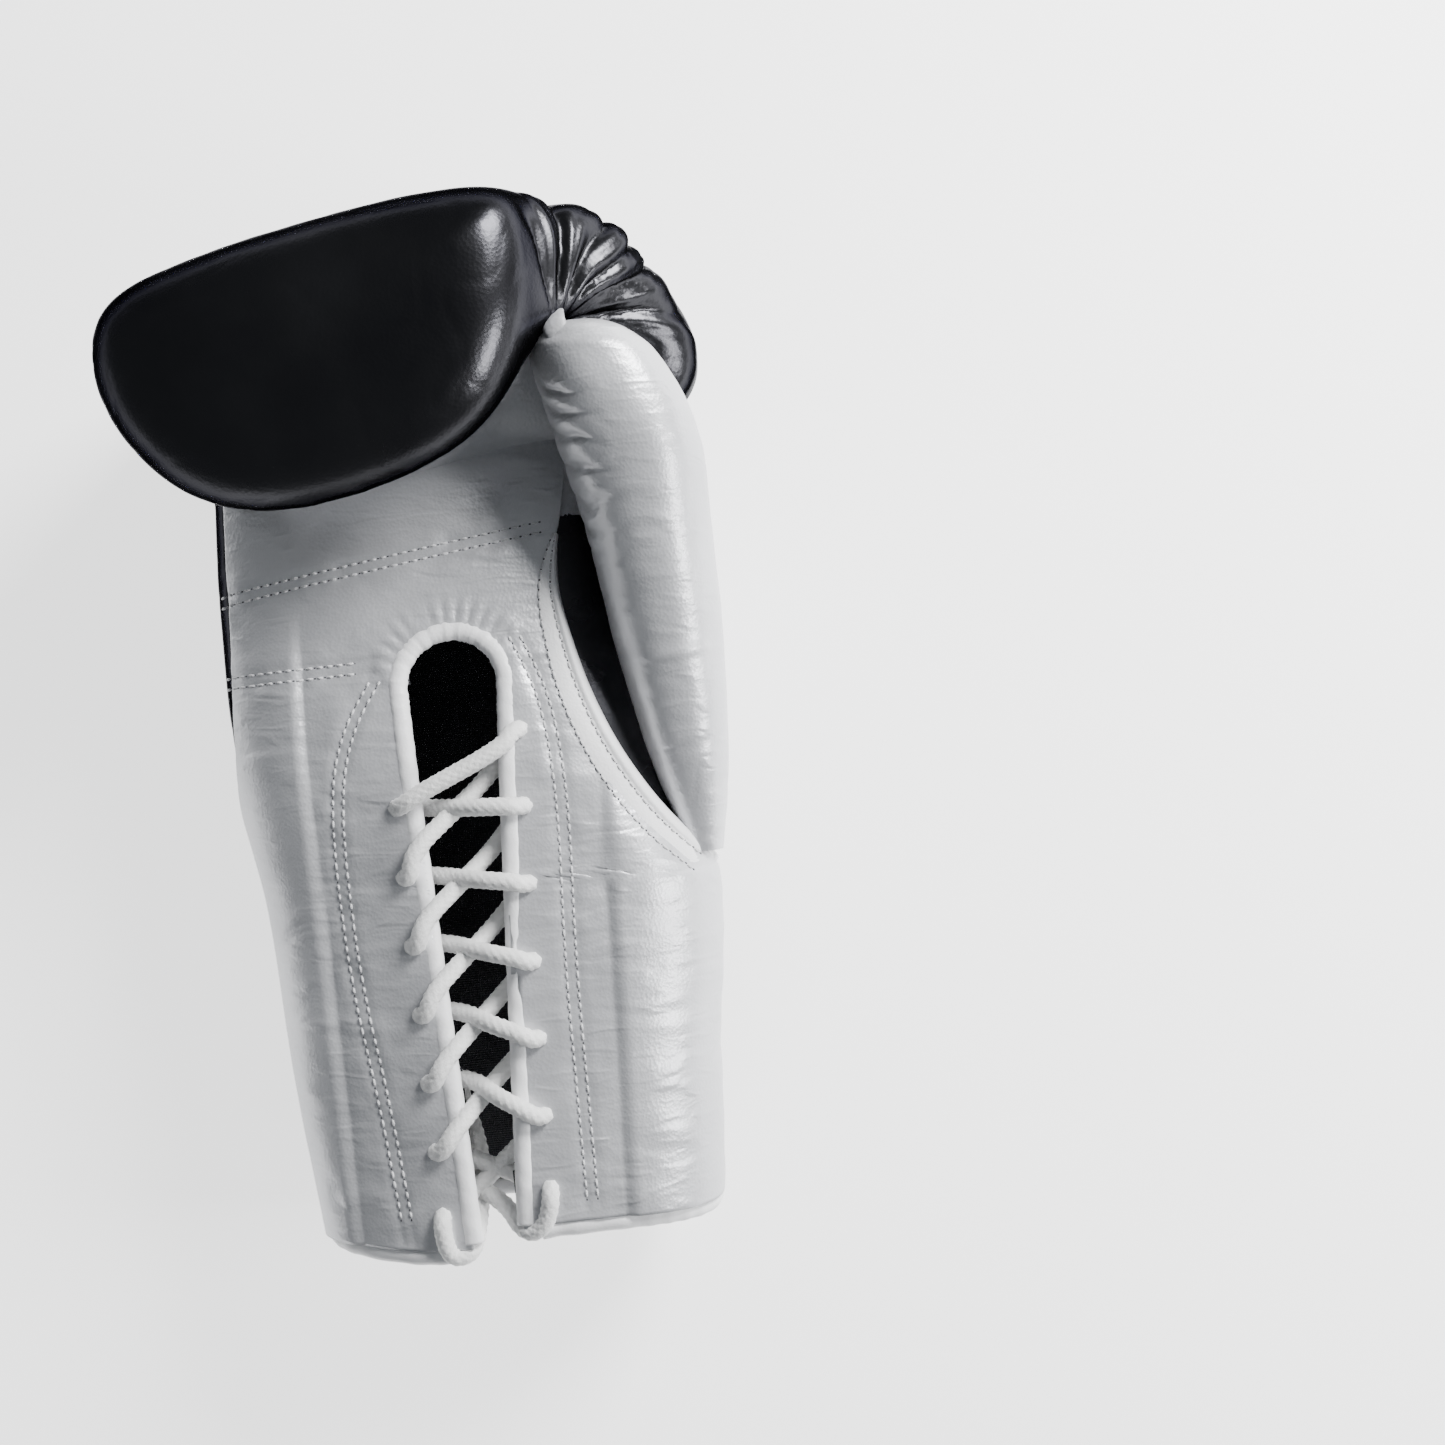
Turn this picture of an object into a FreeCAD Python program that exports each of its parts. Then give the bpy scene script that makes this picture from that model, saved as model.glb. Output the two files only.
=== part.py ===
"""A lace-up boxing glove for the right hand, lying on its back with the palm up.

Frame: +Y runs from the cuff's hem to the knuckles, +X points to the thumb side, +Z is up,
out of the palm.  The origin is under the middle of the glove, on the surface it lies on.
"""
import FreeCAD, Part
import Sketcher
import math
import os
import re
from FreeCAD import Placement, Rotation, Vector

doc = FreeCAD.newDocument("BoxingGlove")

# ---------------------------------------------------------------- driving sizes (mm)

SIZES = (
    # leather, lining and play between layers
    ("leather", 1.4, "thickness of the outer leather"),
    ("lining", 1.0, "thickness of the inner fabric"),
    ("strip", 1.2, "thickness of the lace-hole strips"),
    ("play", 0.2, "clearance between two layers"),
    # glove body, one ellipse at each station from hem to knuckles
    ("cuff_length", 100, "from the wrist station to the hem"),
    ("wrist_y", -46, "wrist station"),
    ("heel_y", 0, "heel of the hand"),
    ("palm_y", 50, "middle of the palm"),
    ("fist_y", 95, "station inside the fist"),
    ("hem_x", 8, "centre line at the hem"),
    ("midcuff_x", 7, "centre line at the middle of the cuff"),
    ("wrist_x", 7, "centre line at the wrist"),
    ("heel_x", -1, "centre line at the heel"),
    ("palm_x", -5.5, "centre line at the palm"),
    ("fist_x", -3, "centre line in the fist"),
    ("hem_half", 60, "half width at the hem"),
    ("midcuff_half", 64.5, "half width at the middle of the cuff"),
    ("wrist_half", 68, "half width at the wrist"),
    ("heel_half", 68, "half width at the heel"),
    ("palm_half", 66, "half width at the palm"),
    ("fist_half", 66, "half width in the fist"),
    ("hem_low", 1.4, "back surface at the hem"),
    ("midcuff_low", 3, "back surface at the middle of the cuff"),
    ("wrist_low", 4, "back surface at the wrist"),
    ("heel_low", 3, "back surface at the heel"),
    ("palm_low", 0.8, "back surface at the palm"),
    ("fist_low", 1.2, "back surface in the fist"),
    ("hem_top", 72, "palm surface at the hem"),
    ("midcuff_top", 72.5, "palm surface at the middle of the cuff"),
    ("wrist_top", 72.5, "palm surface at the wrist"),
    ("heel_top", 71.5, "palm surface at the heel"),
    ("palm_top", 63, "palm surface at the palm"),
    ("fist_top", 55, "palm surface in the fist"),
    ("hem_side_wall", 5, "side wall at the hem"),
    ("midcuff_side_wall", 11, "side wall at the middle of the cuff"),
    ("wrist_side_wall", 12, "side wall at the wrist"),
    ("heel_side_wall", 13, "side wall at the heel"),
    ("palm_side_wall", 13, "side wall at the palm"),
    ("fist_side_wall", 14, "side wall in the fist"),
    ("hem_back_wall", 5, "back wall at the hem"),
    ("midcuff_back_wall", 10, "back wall at the middle of the cuff"),
    ("wrist_back_wall", 12, "back wall at the wrist"),
    ("heel_back_wall", 14, "back wall at the heel"),
    ("palm_back_wall", 16, "back wall at the palm"),
    ("fist_back_wall", 22, "back wall in the fist"),
    ("front_wall", 4.8, "palm side wall, thin beside the lacing"),
    ("seam_height", 38, "height of the seam between the back and the palm side"),
    # wrist joint: the hand ends in a round heel that the cuff turns on
    ("wrist_axis_y", -2, "wrist axis along the glove"),
    ("wrist_axis_z", 38, "wrist axis height"),
    ("wrist_round", 42, "radius of the hand's rounded end"),
    ("wrist_gap", 0.5, "play between the hand and the cuff"),
    # fist: a rounded block, turned a little, its front edge on the knuckle line
    ("knuckle_x", -22, "a point on the knuckle line"),
    ("knuckle_y", 147.5, "the same point along the glove"),
    ("fist_skew", 10, "turn of the fist, degrees"),
    ("fist_left", -62, "little finger side of the fist"),
    ("fist_right", 99, "index finger side of the fist"),
    ("fist_depth", 80, "fist from front to back"),
    ("fist_reach", 19, "how far the fist reaches back over the palm"),
    ("fist_height", 61.6, "height of the knuckle half"),
    ("fist_corner", 24, "corners of the fist"),
    ("fist_straight", 6, "straight stretch between the two corners on the index side"),
    ("fist_edge", 18, "rounding under the fist"),
    ("outer_foam", 15, "outer knuckle foam, with the leather"),
    # finger roll above it
    ("roll_left", -66, "little finger end of the roll"),
    ("roll_right", 60, "index finger end of the roll"),
    ("roll_depth", 75, "roll from front to back"),
    ("roll_base", 62.2, "underside of the roll"),
    ("roll_height", 58, "height of the roll"),
    ("roll_corner", 22, "front corners of the roll"),
    ("roll_left_corner", 34, "palm corner on the little finger side"),
    ("roll_right_corner", 50, "palm corner on the index side"),
    ("roll_edge", 19, "rounding of the top of the roll"),
    # room for the fingers inside the fist
    ("pocket_left", -48, "finger pocket, little finger end"),
    ("pocket_right", 34, "finger pocket, index finger end"),
    ("pocket_front", -36, "finger pocket, front wall"),
    ("pocket_back", -60, "finger pocket, palm wall"),
    ("pocket_floor", 30, "finger pocket, floor over the knuckle foam"),
    ("pocket_roof", 94, "finger pocket, roof in the roll"),
    ("pocket_corner", 10, "corners of the finger pocket"),
    ("entry_depth", 29, "how far the way into the pocket reaches past the palm"),
    # slope between the roll and the index side of the fist
    ("slope_right", 95, "foot of the slope"),
    ("slope_front", -8, "front end of the slope"),
    ("slope_length", 28, "slope from front to back"),
    ("slope_height", 40, "height of the slope"),
    # grip bar
    ("grip_radius", 8, "radius of the bar in the palm"),
    ("grip_left", -36, "little finger end of the bar"),
    ("grip_length", 60, "length of the bar"),
    ("grip_y", 60, "bar along the glove"),
    ("grip_z", 42, "bar height"),
    # thumb, one upright ellipse at each station from root to tip
    ("root_y", -37, "thumb root"),
    ("shank_y", -10, "thumb shank"),
    ("swell_y", 25, "thumb swell"),
    ("ball_y", 60, "ball of the thumb"),
    ("crown_y", 88, "crown of the thumb"),
    ("nail_y", 105, "end of the thumb"),
    ("tip_y", 114, "tip of the thumb"),
    ("root_x", 72, "centre line"),
    ("shank_x", 71, "centre line"),
    ("swell_x", 68, "centre line"),
    ("ball_x", 66, "centre line"),
    ("crown_x", 61.5, "centre line"),
    ("nail_x", 57, "centre line"),
    ("tip_x", 54, "centre line"),
    ("root_z", 49, "centre height"),
    ("shank_z", 52, "centre height"),
    ("swell_z", 56, "centre height"),
    ("ball_z", 66, "centre height"),
    ("crown_z", 75, "centre height"),
    ("nail_z", 80, "centre height"),
    ("tip_z", 83, "centre height"),
    ("root_half", 5, "half width"),
    ("shank_half", 12, "half width"),
    ("swell_half", 16, "half width"),
    ("ball_half", 18.5, "half width"),
    ("crown_half", 20, "half width"),
    ("nail_half", 16, "half width"),
    ("tip_half", 8, "half width"),
    ("root_rise", 8, "half height"),
    ("shank_rise", 18, "half height"),
    ("swell_rise", 24, "half height"),
    ("ball_rise", 25, "half height"),
    ("crown_rise", 24, "half height"),
    ("nail_rise", 19, "half height"),
    ("tip_rise", 10, "half height"),
    ("thumb_foam", 5, "foam of the thumb, with the leather"),
    ("thumb_gap", 1.0, "play between thumb and hand"),
    ("thumb_clear", 4.5, "from the thumb to the edge of the hand beside it"),
    ("thumb_swing", 18, "room kept free outside the thumb"),
    ("mouth_radius", 11, "radius of the way into the thumb"),
    ("mouth_y", 26, "way into the thumb along the glove"),
    ("mouth_z", 52, "way into the thumb, height"),
    ("mouth_length", 42, "way into the thumb, from the hand's room to the thumb's middle"),
    ("tether_width", 10, "width of the thumb strap"),
    ("tether_length", 8.2, "length of the thumb strap"),
    ("tether_thick", 2, "thickness of the thumb strap"),
    # lacing
    ("slot_x", 3, "centre line of the lacing"),
    ("slot_top_half", 13.3, "half of the opening at the arch"),
    ("slot_hem_half", 5.2, "half of the opening at the hem"),
    ("slot_round_y", 17, "centre of the arch"),
    ("binding", 3, "radius of the binding"),
    ("binding_z", 67.8, "height of the binding's centre"),
    ("slot_floor", 46, "height at which the opening and the holes begin"),
    ("zone_left", -41, "edge of the flat zone beside the lacing"),
    ("zone_right", 45, "edge of the flat zone beside the lacing"),
    ("zone_end", 42, "upper end of the flat zone"),
    ("strip_width", 28, "width of a lace-hole strip with its part under the binding"),
    ("strip_margin", 2, "from the edge of the flat zone to the strip"),
    ("strip_end", 12, "upper end of the strips"),
    ("lace", 2.5, "radius of the lace"),
    ("eyelet", 3.2, "radius of a lace hole"),
    ("left_first_y", -18.2, "first hole on the little finger side"),
    ("left_pitch", 20.4, "hole spacing on that side"),
    ("right_first_y", 2.3, "first hole on the thumb side"),
    ("right_pitch", 22.9, "hole spacing on that side"),
    ("left_first_x", -17.6, "first hole across the glove"),
    ("left_last_x", -13.4, "last hole across the glove"),
    ("right_first_x", 24.6, "first hole across the glove"),
    ("right_last_x", 19.2, "last hole across the glove"),
    ("over_z", 74.2, "height of the lace over the binding"),
    ("under_z", 59.6, "height of the lace under the flaps"),
    ("deep_z", 54.0, "height of the lace where two strands cross inside"),
    ("tail_z", 48.4, "height of the tucked ends"),
    ("lace_bend", 4.4, "radius of the lace's tight bends"),
    ("lace_play", 0.6, "play between the lace and the binding"),
    ("left_rise", 3, "how far past its hole a strand rises, from the little finger side"),
    ("right_rise", 9, "how far before its hole a strand rises, from the thumb side"),
    ("tuck_one_x", -8, "the end on the little finger side, tucked inside"),
    ("tuck_one_y", -104, "the same"),
    ("tuck_two_x", -20, "its tip"),
    ("tuck_two_y", -84, "its tip"),
    ("tuck_three_x", 10, "the end on the thumb side, tucked inside"),
    ("tuck_three_y", -100, "the same"),
    ("tuck_four_x", 24, "its tip"),
    ("tuck_four_y", -76, "its tip"),
    ("tuck_turn", 12, "from the last hole to the tucked end's first bend"),
    ("tip_length", 18, "length of a lace tip"),
    ("tip_radius", 1.8, "radius of a lace tip"),
    ("hem_band", 4.5, "width of the hem binding along the glove"),
    ("hem_lap", 1.2, "how far the hem binding stands proud"),
    # black leather between the palm and the thumb
    ("gusset_edge", 61, "outer edge of the gusset"),
    ("gusset_end", 80, "upper end of the gusset"),
    ("gusset_low", 42, "lower edge of the gusset"),
    ("gusset_high", 74, "upper edge of the gusset"),
    # white band round the thumb's black inside
    ("band_width", 8, "width of the crescent band"),
    ("band_thick", 1.4, "thickness of the crescent band"),
    ("band_start_x", 36, "crescent, upper end"),
    ("band_start_y", 50, "crescent, upper end"),
    ("band_middle_x", 46, "crescent, a point halfway"),
    ("band_middle_y", -2, "crescent, a point halfway"),
    ("band_end_x", 69, "crescent, lower end"),
    ("band_end_y", -36, "crescent, lower end"),
)

HOLES = 7                # lace holes on each side
LONG = 400               # longer than the glove, for cutting blocks
ACROSS = Rotation(Vector(1, 0, 0), Vector(0, 0, 1), Vector(0, -1, 0), "XYZ")
UPRIGHT = Rotation(Vector(0, 0, 1), Vector(1, 0, 0), Vector(0, 1, 0), "XYZ")

sheet = doc.addObject("Spreadsheet::Sheet", "Sizes")
for row, (alias, number, note) in enumerate(SIZES, start=1):
    sheet.set(f"A{row}", note)
    sheet.set(f"B{row}", str(number))
    sheet.setAlias(f"B{row}", alias)
doc.recompute()

SIZE_NAMES = {alias for alias, _, _ in SIZES}


def value(formula):
    """The present value of a formula in the sheet's aliases."""
    total = sheet.evalExpression(qualified(formula))
    return float(getattr(total, "Value", total))


def qualified(formula):
    """The formula as FreeCAD reads it, each alias with its sheet's name."""
    def with_sheet(word):
        return f"Sizes.{word.group()}" if word.group() in SIZE_NAMES else word.group()
    return re.sub(r"[A-Za-z_]+", with_sheet, str(formula))


def bind(thing, prop, formula):
    thing.setExpression(prop, qualified(formula))


# ---------------------------------------------------------------- small builders

def boolean(kind, name, base, tool):
    joined = doc.addObject(f"Part::{kind}", name)
    joined.Base = base
    joined.Tool = tool
    return joined


def cut(name, base, *tools):
    """The base with every tool taken away from it."""
    for count, tool in enumerate(tools, start=1):
        last = count == len(tools)
        base = boolean("Cut", name if last else f"{name}_cut{count}", base, tool)
    return base


def common(name, base, *tools):
    """What the base and every tool share."""
    for count, tool in enumerate(tools, start=1):
        last = count == len(tools)
        base = boolean("Common", name if last else f"{name}_part{count}", base, tool)
    return base


def fuse(name, first, second):
    return boolean("Fuse", name, first, second)


def ellipse(name, turned, x, y, z, half_width, half_height):
    """An ellipse across the glove; a turned one has its long axis upright."""
    ring = doc.addObject("Part::Ellipse", name)
    ring.Placement = Placement(Vector(), UPRIGHT if turned else ACROSS)
    bind(ring, "Placement.Base.x", x)
    bind(ring, "Placement.Base.y", y)
    bind(ring, "Placement.Base.z", z)
    bind(ring, "MajorRadius", half_height if turned else half_width)
    bind(ring, "MinorRadius", half_width if turned else half_height)
    return ring


def loft(name, sections):
    skin = doc.addObject("Part::Loft", name)
    skin.Sections = sections
    skin.Solid = True
    return skin


def box(name, x, y, z):
    """A block between two formulas on each axis; None runs far past the glove."""
    block = doc.addObject("Part::Box", name)
    for axis, side, span in (("x", "Length", x), ("y", "Width", y), ("z", "Height", z)):
        low, high = span
        low = f"0 - {LONG}" if low is None else low
        high = str(LONG) if high is None else high
        bind(block, f"Placement.Base.{axis}", low)
        bind(block, side, f"({high}) - ({low})")
    return block


def cylinder(name, direction, x, y, z, radius, length):
    rod = doc.addObject("Part::Cylinder", name)
    rod.Placement = Placement(Vector(), Rotation(Vector(0, 0, 1), direction))
    bind(rod, "Placement.Base.x", x)
    bind(rod, "Placement.Base.y", y)
    bind(rod, "Placement.Base.z", z)
    bind(rod, "Radius", radius)
    bind(rod, "Height", length)
    return rod


def origin_plane(body, role):
    return next(part for part in body.Origin.OriginFeatures if part.Role == role)


def sketch_on(body, name, role="XY_Plane", lift="0"):
    """A sketch on one of the body's own planes, moved along the plane's normal."""
    sketch = body.newObject("Sketcher::SketchObject", name)
    sketch.AttachmentSupport = (origin_plane(body, role), [""])
    sketch.MapMode = "FlatFace"
    bind(sketch, "AttachmentOffset.Base.z", lift)
    return sketch


def pin(sketch, geometry, end, x=None, y=None):
    """Hold one end of a line or arc at a formula along the sketch's axes."""
    for kind, formula in (("DistanceX", x), ("DistanceY", y)):
        if formula is not None:
            rule = Sketcher.Constraint(kind, -1, 1, geometry, end, value(formula))
            bind(sketch, f"Constraints[{sketch.addConstraint(rule)}]", formula)


def rounded_outline(sketch, left, right, near, far, corners):
    """A rectangle with its own radius at each corner, from near-left anticlockwise."""
    low_x, high_x, low_y, high_y = (value(f) for f in (left, right, near, far))
    radii = [value(radius) for radius in corners]
    spots = ((low_x, low_y), (high_x, low_y), (high_x, high_y), (low_x, high_y))
    inward = ((1, 1), (-1, 1), (-1, -1), (1, -1))
    centres = [Vector(x + dx * r, y + dy * r, 0)
               for (x, y), (dx, dy), r in zip(spots, inward, radii)]
    arcs = []
    for corner, (centre, radius) in enumerate(zip(centres, radii)):
        start = math.pi + corner * math.pi / 2
        circle = Part.Circle(centre, Vector(0, 0, 1), radius)
        arcs.append(Part.ArcOfCircle(circle, start, start + math.pi / 2))
    arc_ids = [sketch.addGeometry(arc, False) for arc in arcs]
    line_ids = []
    for corner, arc in enumerate(arcs):
        following = arcs[(corner + 1) % 4]
        line = Part.LineSegment(arc.EndPoint, following.StartPoint)
        line_ids.append(sketch.addGeometry(line, False))
    for corner in range(4):
        line, following = line_ids[corner], arc_ids[(corner + 1) % 4]
        flat = "Vertical" if corner % 2 else "Horizontal"
        sketch.addConstraint(Sketcher.Constraint("Tangent", arc_ids[corner], 2, line, 1))
        sketch.addConstraint(Sketcher.Constraint("Tangent", line, 2, following, 1))
        sketch.addConstraint(Sketcher.Constraint(flat, line))
        rule = Sketcher.Constraint("Radius", arc_ids[corner], radii[corner])
        bind(sketch, f"Constraints[{sketch.addConstraint(rule)}]", corners[corner])
    pin(sketch, line_ids[0], 1, y=near)
    pin(sketch, line_ids[1], 1, x=right)
    pin(sketch, line_ids[2], 1, y=far)
    pin(sketch, line_ids[3], 1, x=left)


def edges_at(shape, height):
    """Names of the edges of the flat face at this height."""
    face = next(f for f in shape.Faces
                if isinstance(f.Surface, Part.Plane)
                and abs(f.BoundBox.ZMin - height) + abs(f.BoundBox.ZMax - height) < 1e-4)
    return [f"Edge{n}" for n, edge in enumerate(shape.Edges, start=1)
            if any(edge.isSame(other) for other in face.Edges)]


def skewed(body):
    """Put a body on the knuckle line, turned with the fist."""
    body.Placement = Placement(Vector(), Rotation(Vector(0, 0, 1), value("fist_skew")))
    bind(body, "Placement.Base.x", "knuckle_x")
    bind(body, "Placement.Base.y", "knuckle_y")
    bind(body, "Placement.Rotation.Angle", "fist_skew")
    return body


def rounded_block(name, outline, floor, height, edge=None, edge_height=None):
    """A block on the knuckle line: a rounded outline, padded up, one face's rim rounded."""
    body = doc.addObject("PartDesign::Body", name)
    sketch = sketch_on(body, f"{name}_outline", lift=floor)
    rounded_outline(sketch, *outline)
    pad = body.newObject("PartDesign::Pad", f"{name}_pad")
    pad.Profile = sketch
    bind(pad, "Length", height)
    doc.recompute()
    if edge is not None:
        rounding = body.newObject("PartDesign::Fillet", f"{name}_rounding")
        rounding.Base = (pad, edges_at(pad.Shape, value(edge_height)))
        bind(rounding, "Radius", edge)
    return skewed(body)


# ---------------------------------------------------------------- forms shared by many pieces

STATIONS = ("hem", "midcuff", "wrist", "heel", "palm", "fist")
STATION_Y = {"hem": "wrist_y - cuff_length", "midcuff": "wrist_y - cuff_length / 2"}
INDEX_CORNER = "(fist_depth - fist_corner - fist_straight)"


def outer_form(name, inset):
    """The outside of the cuff and hand, moved inwards by the inset."""
    rings = []
    for spot in STATIONS:
        y = STATION_Y.get(spot, f"{spot}_y")
        rings.append(ellipse(f"{name}_{spot}", False, f"{spot}_x", y,
                             f"({spot}_top + {spot}_low) / 2",
                             f"{spot}_half - ({inset})",
                             f"({spot}_top - {spot}_low) / 2 - ({inset})"))
    return loft(name, rings)


def cavity_form(name, inset):
    """The room for hand and wrist, moved inwards by the inset."""
    rings = []
    for spot in STATIONS:
        y = STATION_Y.get(spot, f"{spot}_y")
        floor = f"{spot}_low + {spot}_back_wall"
        roof = f"{spot}_top - front_wall"
        rings.append(ellipse(f"{name}_{spot}", False, f"{spot}_x", y,
                             f"({roof} + {floor}) / 2",
                             f"{spot}_half - {spot}_side_wall - ({inset})",
                             f"({roof} - ({floor})) / 2 - ({inset})"))
    return loft(name, rings)


def fist_form(name, inset):
    """The knuckle half of the fist, open at the top, moved inwards by the inset."""
    outline = (f"fist_left + {inset}", f"fist_right - ({inset})",
               f"0 - fist_depth + {inset}", f"0 - ({inset})",
               (f"fist_corner - ({inset})", f"fist_corner - ({inset})",
                f"{INDEX_CORNER} - ({inset})", f"fist_corner - ({inset})"))
    lift = 0 if inset == "0" else "play"
    return rounded_block(name, outline, inset, f"fist_height - ({inset}) + {lift}",
                         f"fist_edge - ({inset})", inset)


def roll_form(name, inset, drop="0"):
    """The finger roll, moved inwards by the inset, its underside lowered by the drop."""
    outline = (f"roll_left + {inset}", f"roll_right - ({inset})",
               f"0 - roll_depth + {inset}", f"0 - ({inset})",
               (f"roll_left_corner - ({inset})", f"roll_right_corner - ({inset})",
                f"roll_corner - ({inset})", f"roll_corner - ({inset})"))
    base = f"roll_base + {inset} - ({drop})"
    height = f"roll_height - 2 * ({inset}) + {drop}"
    return rounded_block(name, outline, base, height,
                         f"roll_edge - ({inset})", f"{base} + {height}")


def pocket_form(name, inset):
    """The room for the fingers from the knuckle foam up into the roll."""
    corner = f"pocket_corner - ({inset})"
    outline = (f"pocket_left + {inset}", f"pocket_right - ({inset})",
               f"pocket_back + {inset}", f"pocket_front - ({inset})",
               (corner, corner, corner, corner))
    base = f"pocket_floor + {inset}"
    return rounded_block(name, outline, base, f"pocket_roof - ({inset}) - ({base})")


THUMB = ("root", "shank", "swell", "ball", "crown", "nail", "tip")


def thumb_form(name, inset, shift="0", spots=THUMB):
    """The thumb, moved inwards by the inset and outwards from the hand by the shift."""
    rings = []
    for spot in spots:
        along = {"root": f"root_y + {inset}", "tip": f"tip_y - ({inset})"}.get(spot, f"{spot}_y")
        rings.append(ellipse(f"{name}_{spot}", True, f"{spot}_x + {shift}", along,
                             f"{spot}_z", f"{spot}_half - ({inset})",
                             f"{spot}_rise - ({inset})"))
    return loft(name, rings)


outer = outer_form("outer", "0")
outer_inside = outer_form("outer_inside", "leather")
under_leather = outer_form("under_leather", "leather + play")
under_strip = outer_form("under_strip", "leather + play + strip")
around_lining = cavity_form("around_lining", "0 - play")
lining_outside = cavity_form("lining_outside", "0")
lining_inside = cavity_form("lining_inside", "lining")

fist = fist_form("fist", "0")
fist_inside = fist_form("fist_inside", "leather")
fist_foam = fist_form("fist_foam", "leather + play")
fist_foam_inside = fist_form("fist_foam_inside", "outer_foam")
fist_core = fist_form("fist_core", "outer_foam + play")

# the thumb's own room beside the hand, and the room that it swings out into
around_thumb = "0 - thumb_gap - leather - 6 * play"
thumb_room = (thumb_form("thumb_room_near", around_thumb),
              thumb_form("thumb_room_far", around_thumb, "thumb_swing"))


def thumb_side(name):
    """An upright prism, from just inside the thumb outwards, that keeps the hand clear of it."""
    body = doc.addObject("PartDesign::Body", name)
    sketch = sketch_on(body, f"{name}_outline", lift="swell_z - swell_rise - thumb_clear")
    far = "swell_x + swell_half + thumb_swing"
    start, end = "root_y - 2 * thumb_clear", "ball_y + thumb_clear"
    corners = [("root_x - root_half - thumb_clear", start)]
    corners += [(f"{spot}_x - {spot}_half - thumb_clear", f"{spot}_y")
                for spot in ("shank", "swell")]
    corners += [("ball_x - ball_half - thumb_clear", end), (far, end), (far, start)]
    spots = [Vector(value(x), value(y), 0) for x, y in corners]
    for near, following in zip(spots, spots[1:] + spots[:1]):
        sketch.addGeometry(Part.LineSegment(near, following), False)
    for line in range(len(spots)):
        rule = Sketcher.Constraint("Coincident", line, 2, (line + 1) % len(spots), 1)
        sketch.addConstraint(rule)
    for line, (x, y) in enumerate(corners):
        pin(sketch, line, 1, x, y)
    pad = body.newObject("PartDesign::Pad", f"{name}_pad")
    pad.Profile = sketch
    bind(pad, "Length", "hem_top")
    return body


beside_thumb = thumb_side("beside_thumb")
mouth = cylinder("mouth", Vector(1, 0, 0), "swell_x - mouth_length + 2", "mouth_y", "mouth_z",
                 "mouth_radius", "mouth_length")

# the hand ends in a cylinder about the wrist axis, and the cuff begins round it
wrist_ball = cylinder("wrist_ball", Vector(1, 0, 0), f"0 - {LONG}", "wrist_axis_y",
                      "wrist_axis_z", "wrist_round", 2 * LONG)
wrist_room = cylinder("wrist_room", Vector(1, 0, 0), f"0 - {LONG}", "wrist_axis_y",
                      "wrist_axis_z", "wrist_round + wrist_gap", 2 * LONG)
fist_line = "(fist_y - fist_reach)"
hand_region = fuse("hand_region", box("hand_block", (None, None), ("wrist_axis_y", None),
                                      (None, None)), wrist_ball)
cuff_region = cut("cuff_region", box("cuff_block", (None, None), (None, "wrist_axis_y"),
                                     (None, None)), wrist_room)
above_seam = box("above_seam", (None, None), (None, fist_line),
                 ("seam_height + play", None))
below_seam = box("below_seam", (None, None), (None, None), (None, "seam_height"))
before_fist = box("before_fist", (None, None), (None, fist_line), (None, None))
beyond_palm = box("beyond_palm", (None, None), (f"{fist_line} + play", None), (None, None))
palm_block = box("palm_block", (None, None), (None, f"{fist_line} + play"),
                 ("seam_height", None))
left_side = box("left_side", (None, "slot_x"), (None, None), (None, None))
right_side = box("right_side", ("slot_x", None), (None, None), (None, None))


LACING_END = "(wrist_y - cuff_length - hem_band - 1)"


def lacing_slot(name, widen):
    """A prism through the palm side: the tapered lacing opening with its round arch."""
    body = doc.addObject("PartDesign::Body", name)
    sketch = sketch_on(body, f"{name}_outline", lift="slot_floor")
    top, hem = f"(slot_top_half + {widen})", f"(slot_hem_half + {widen})"
    corners = ((f"slot_x - {top}", "slot_round_y"), (f"slot_x - {hem}", LACING_END),
               (f"slot_x + {hem}", LACING_END), (f"slot_x + {top}", "slot_round_y"))
    spots = [Vector(value(x), value(y), 0) for x, y in corners]
    for near, far in zip(spots, spots[1:]):
        sketch.addGeometry(Part.LineSegment(near, far), False)
    centre = Vector(value("slot_x"), value("slot_round_y"), 0)
    circle = Part.Circle(centre, Vector(0, 0, 1), value(top))
    sketch.addGeometry(Part.ArcOfCircle(circle, 0, math.pi), False)
    for first, second in ((0, 1), (1, 2)):
        sketch.addConstraint(Sketcher.Constraint("Coincident", first, 2, second, 1))
    sketch.addConstraint(Sketcher.Constraint("Coincident", 2, 2, 3, 1))
    sketch.addConstraint(Sketcher.Constraint("Coincident", 3, 2, 0, 1))
    for line, (x, y) in zip((0, 1, 2), corners):
        pin(sketch, line, 1, x, y)
    pin(sketch, 2, 2, *corners[3])
    pin(sketch, 3, 3, y="slot_round_y")
    pad = body.newObject("PartDesign::Pad", f"{name}_pad")
    pad.Profile = sketch
    bind(pad, "Length", "hem_top")
    return body


slot = lacing_slot("slot", "binding * 2 + play")
lace_zone = box("lace_zone", ("zone_left", "zone_right"), (None, "zone_end"),
                ("seam_height", None))


def hole_places(side):
    """Formulas for x and y of each lace hole on one side, from the arch to the hem."""
    places = []
    for step in range(HOLES):
        share = step / (HOLES - 1)
        x = f"{side}_first_x + {share} * ({side}_last_x - {side}_first_x)"
        places.append((x, f"{side}_first_y - {step} * {side}_pitch"))
    return places


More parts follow.
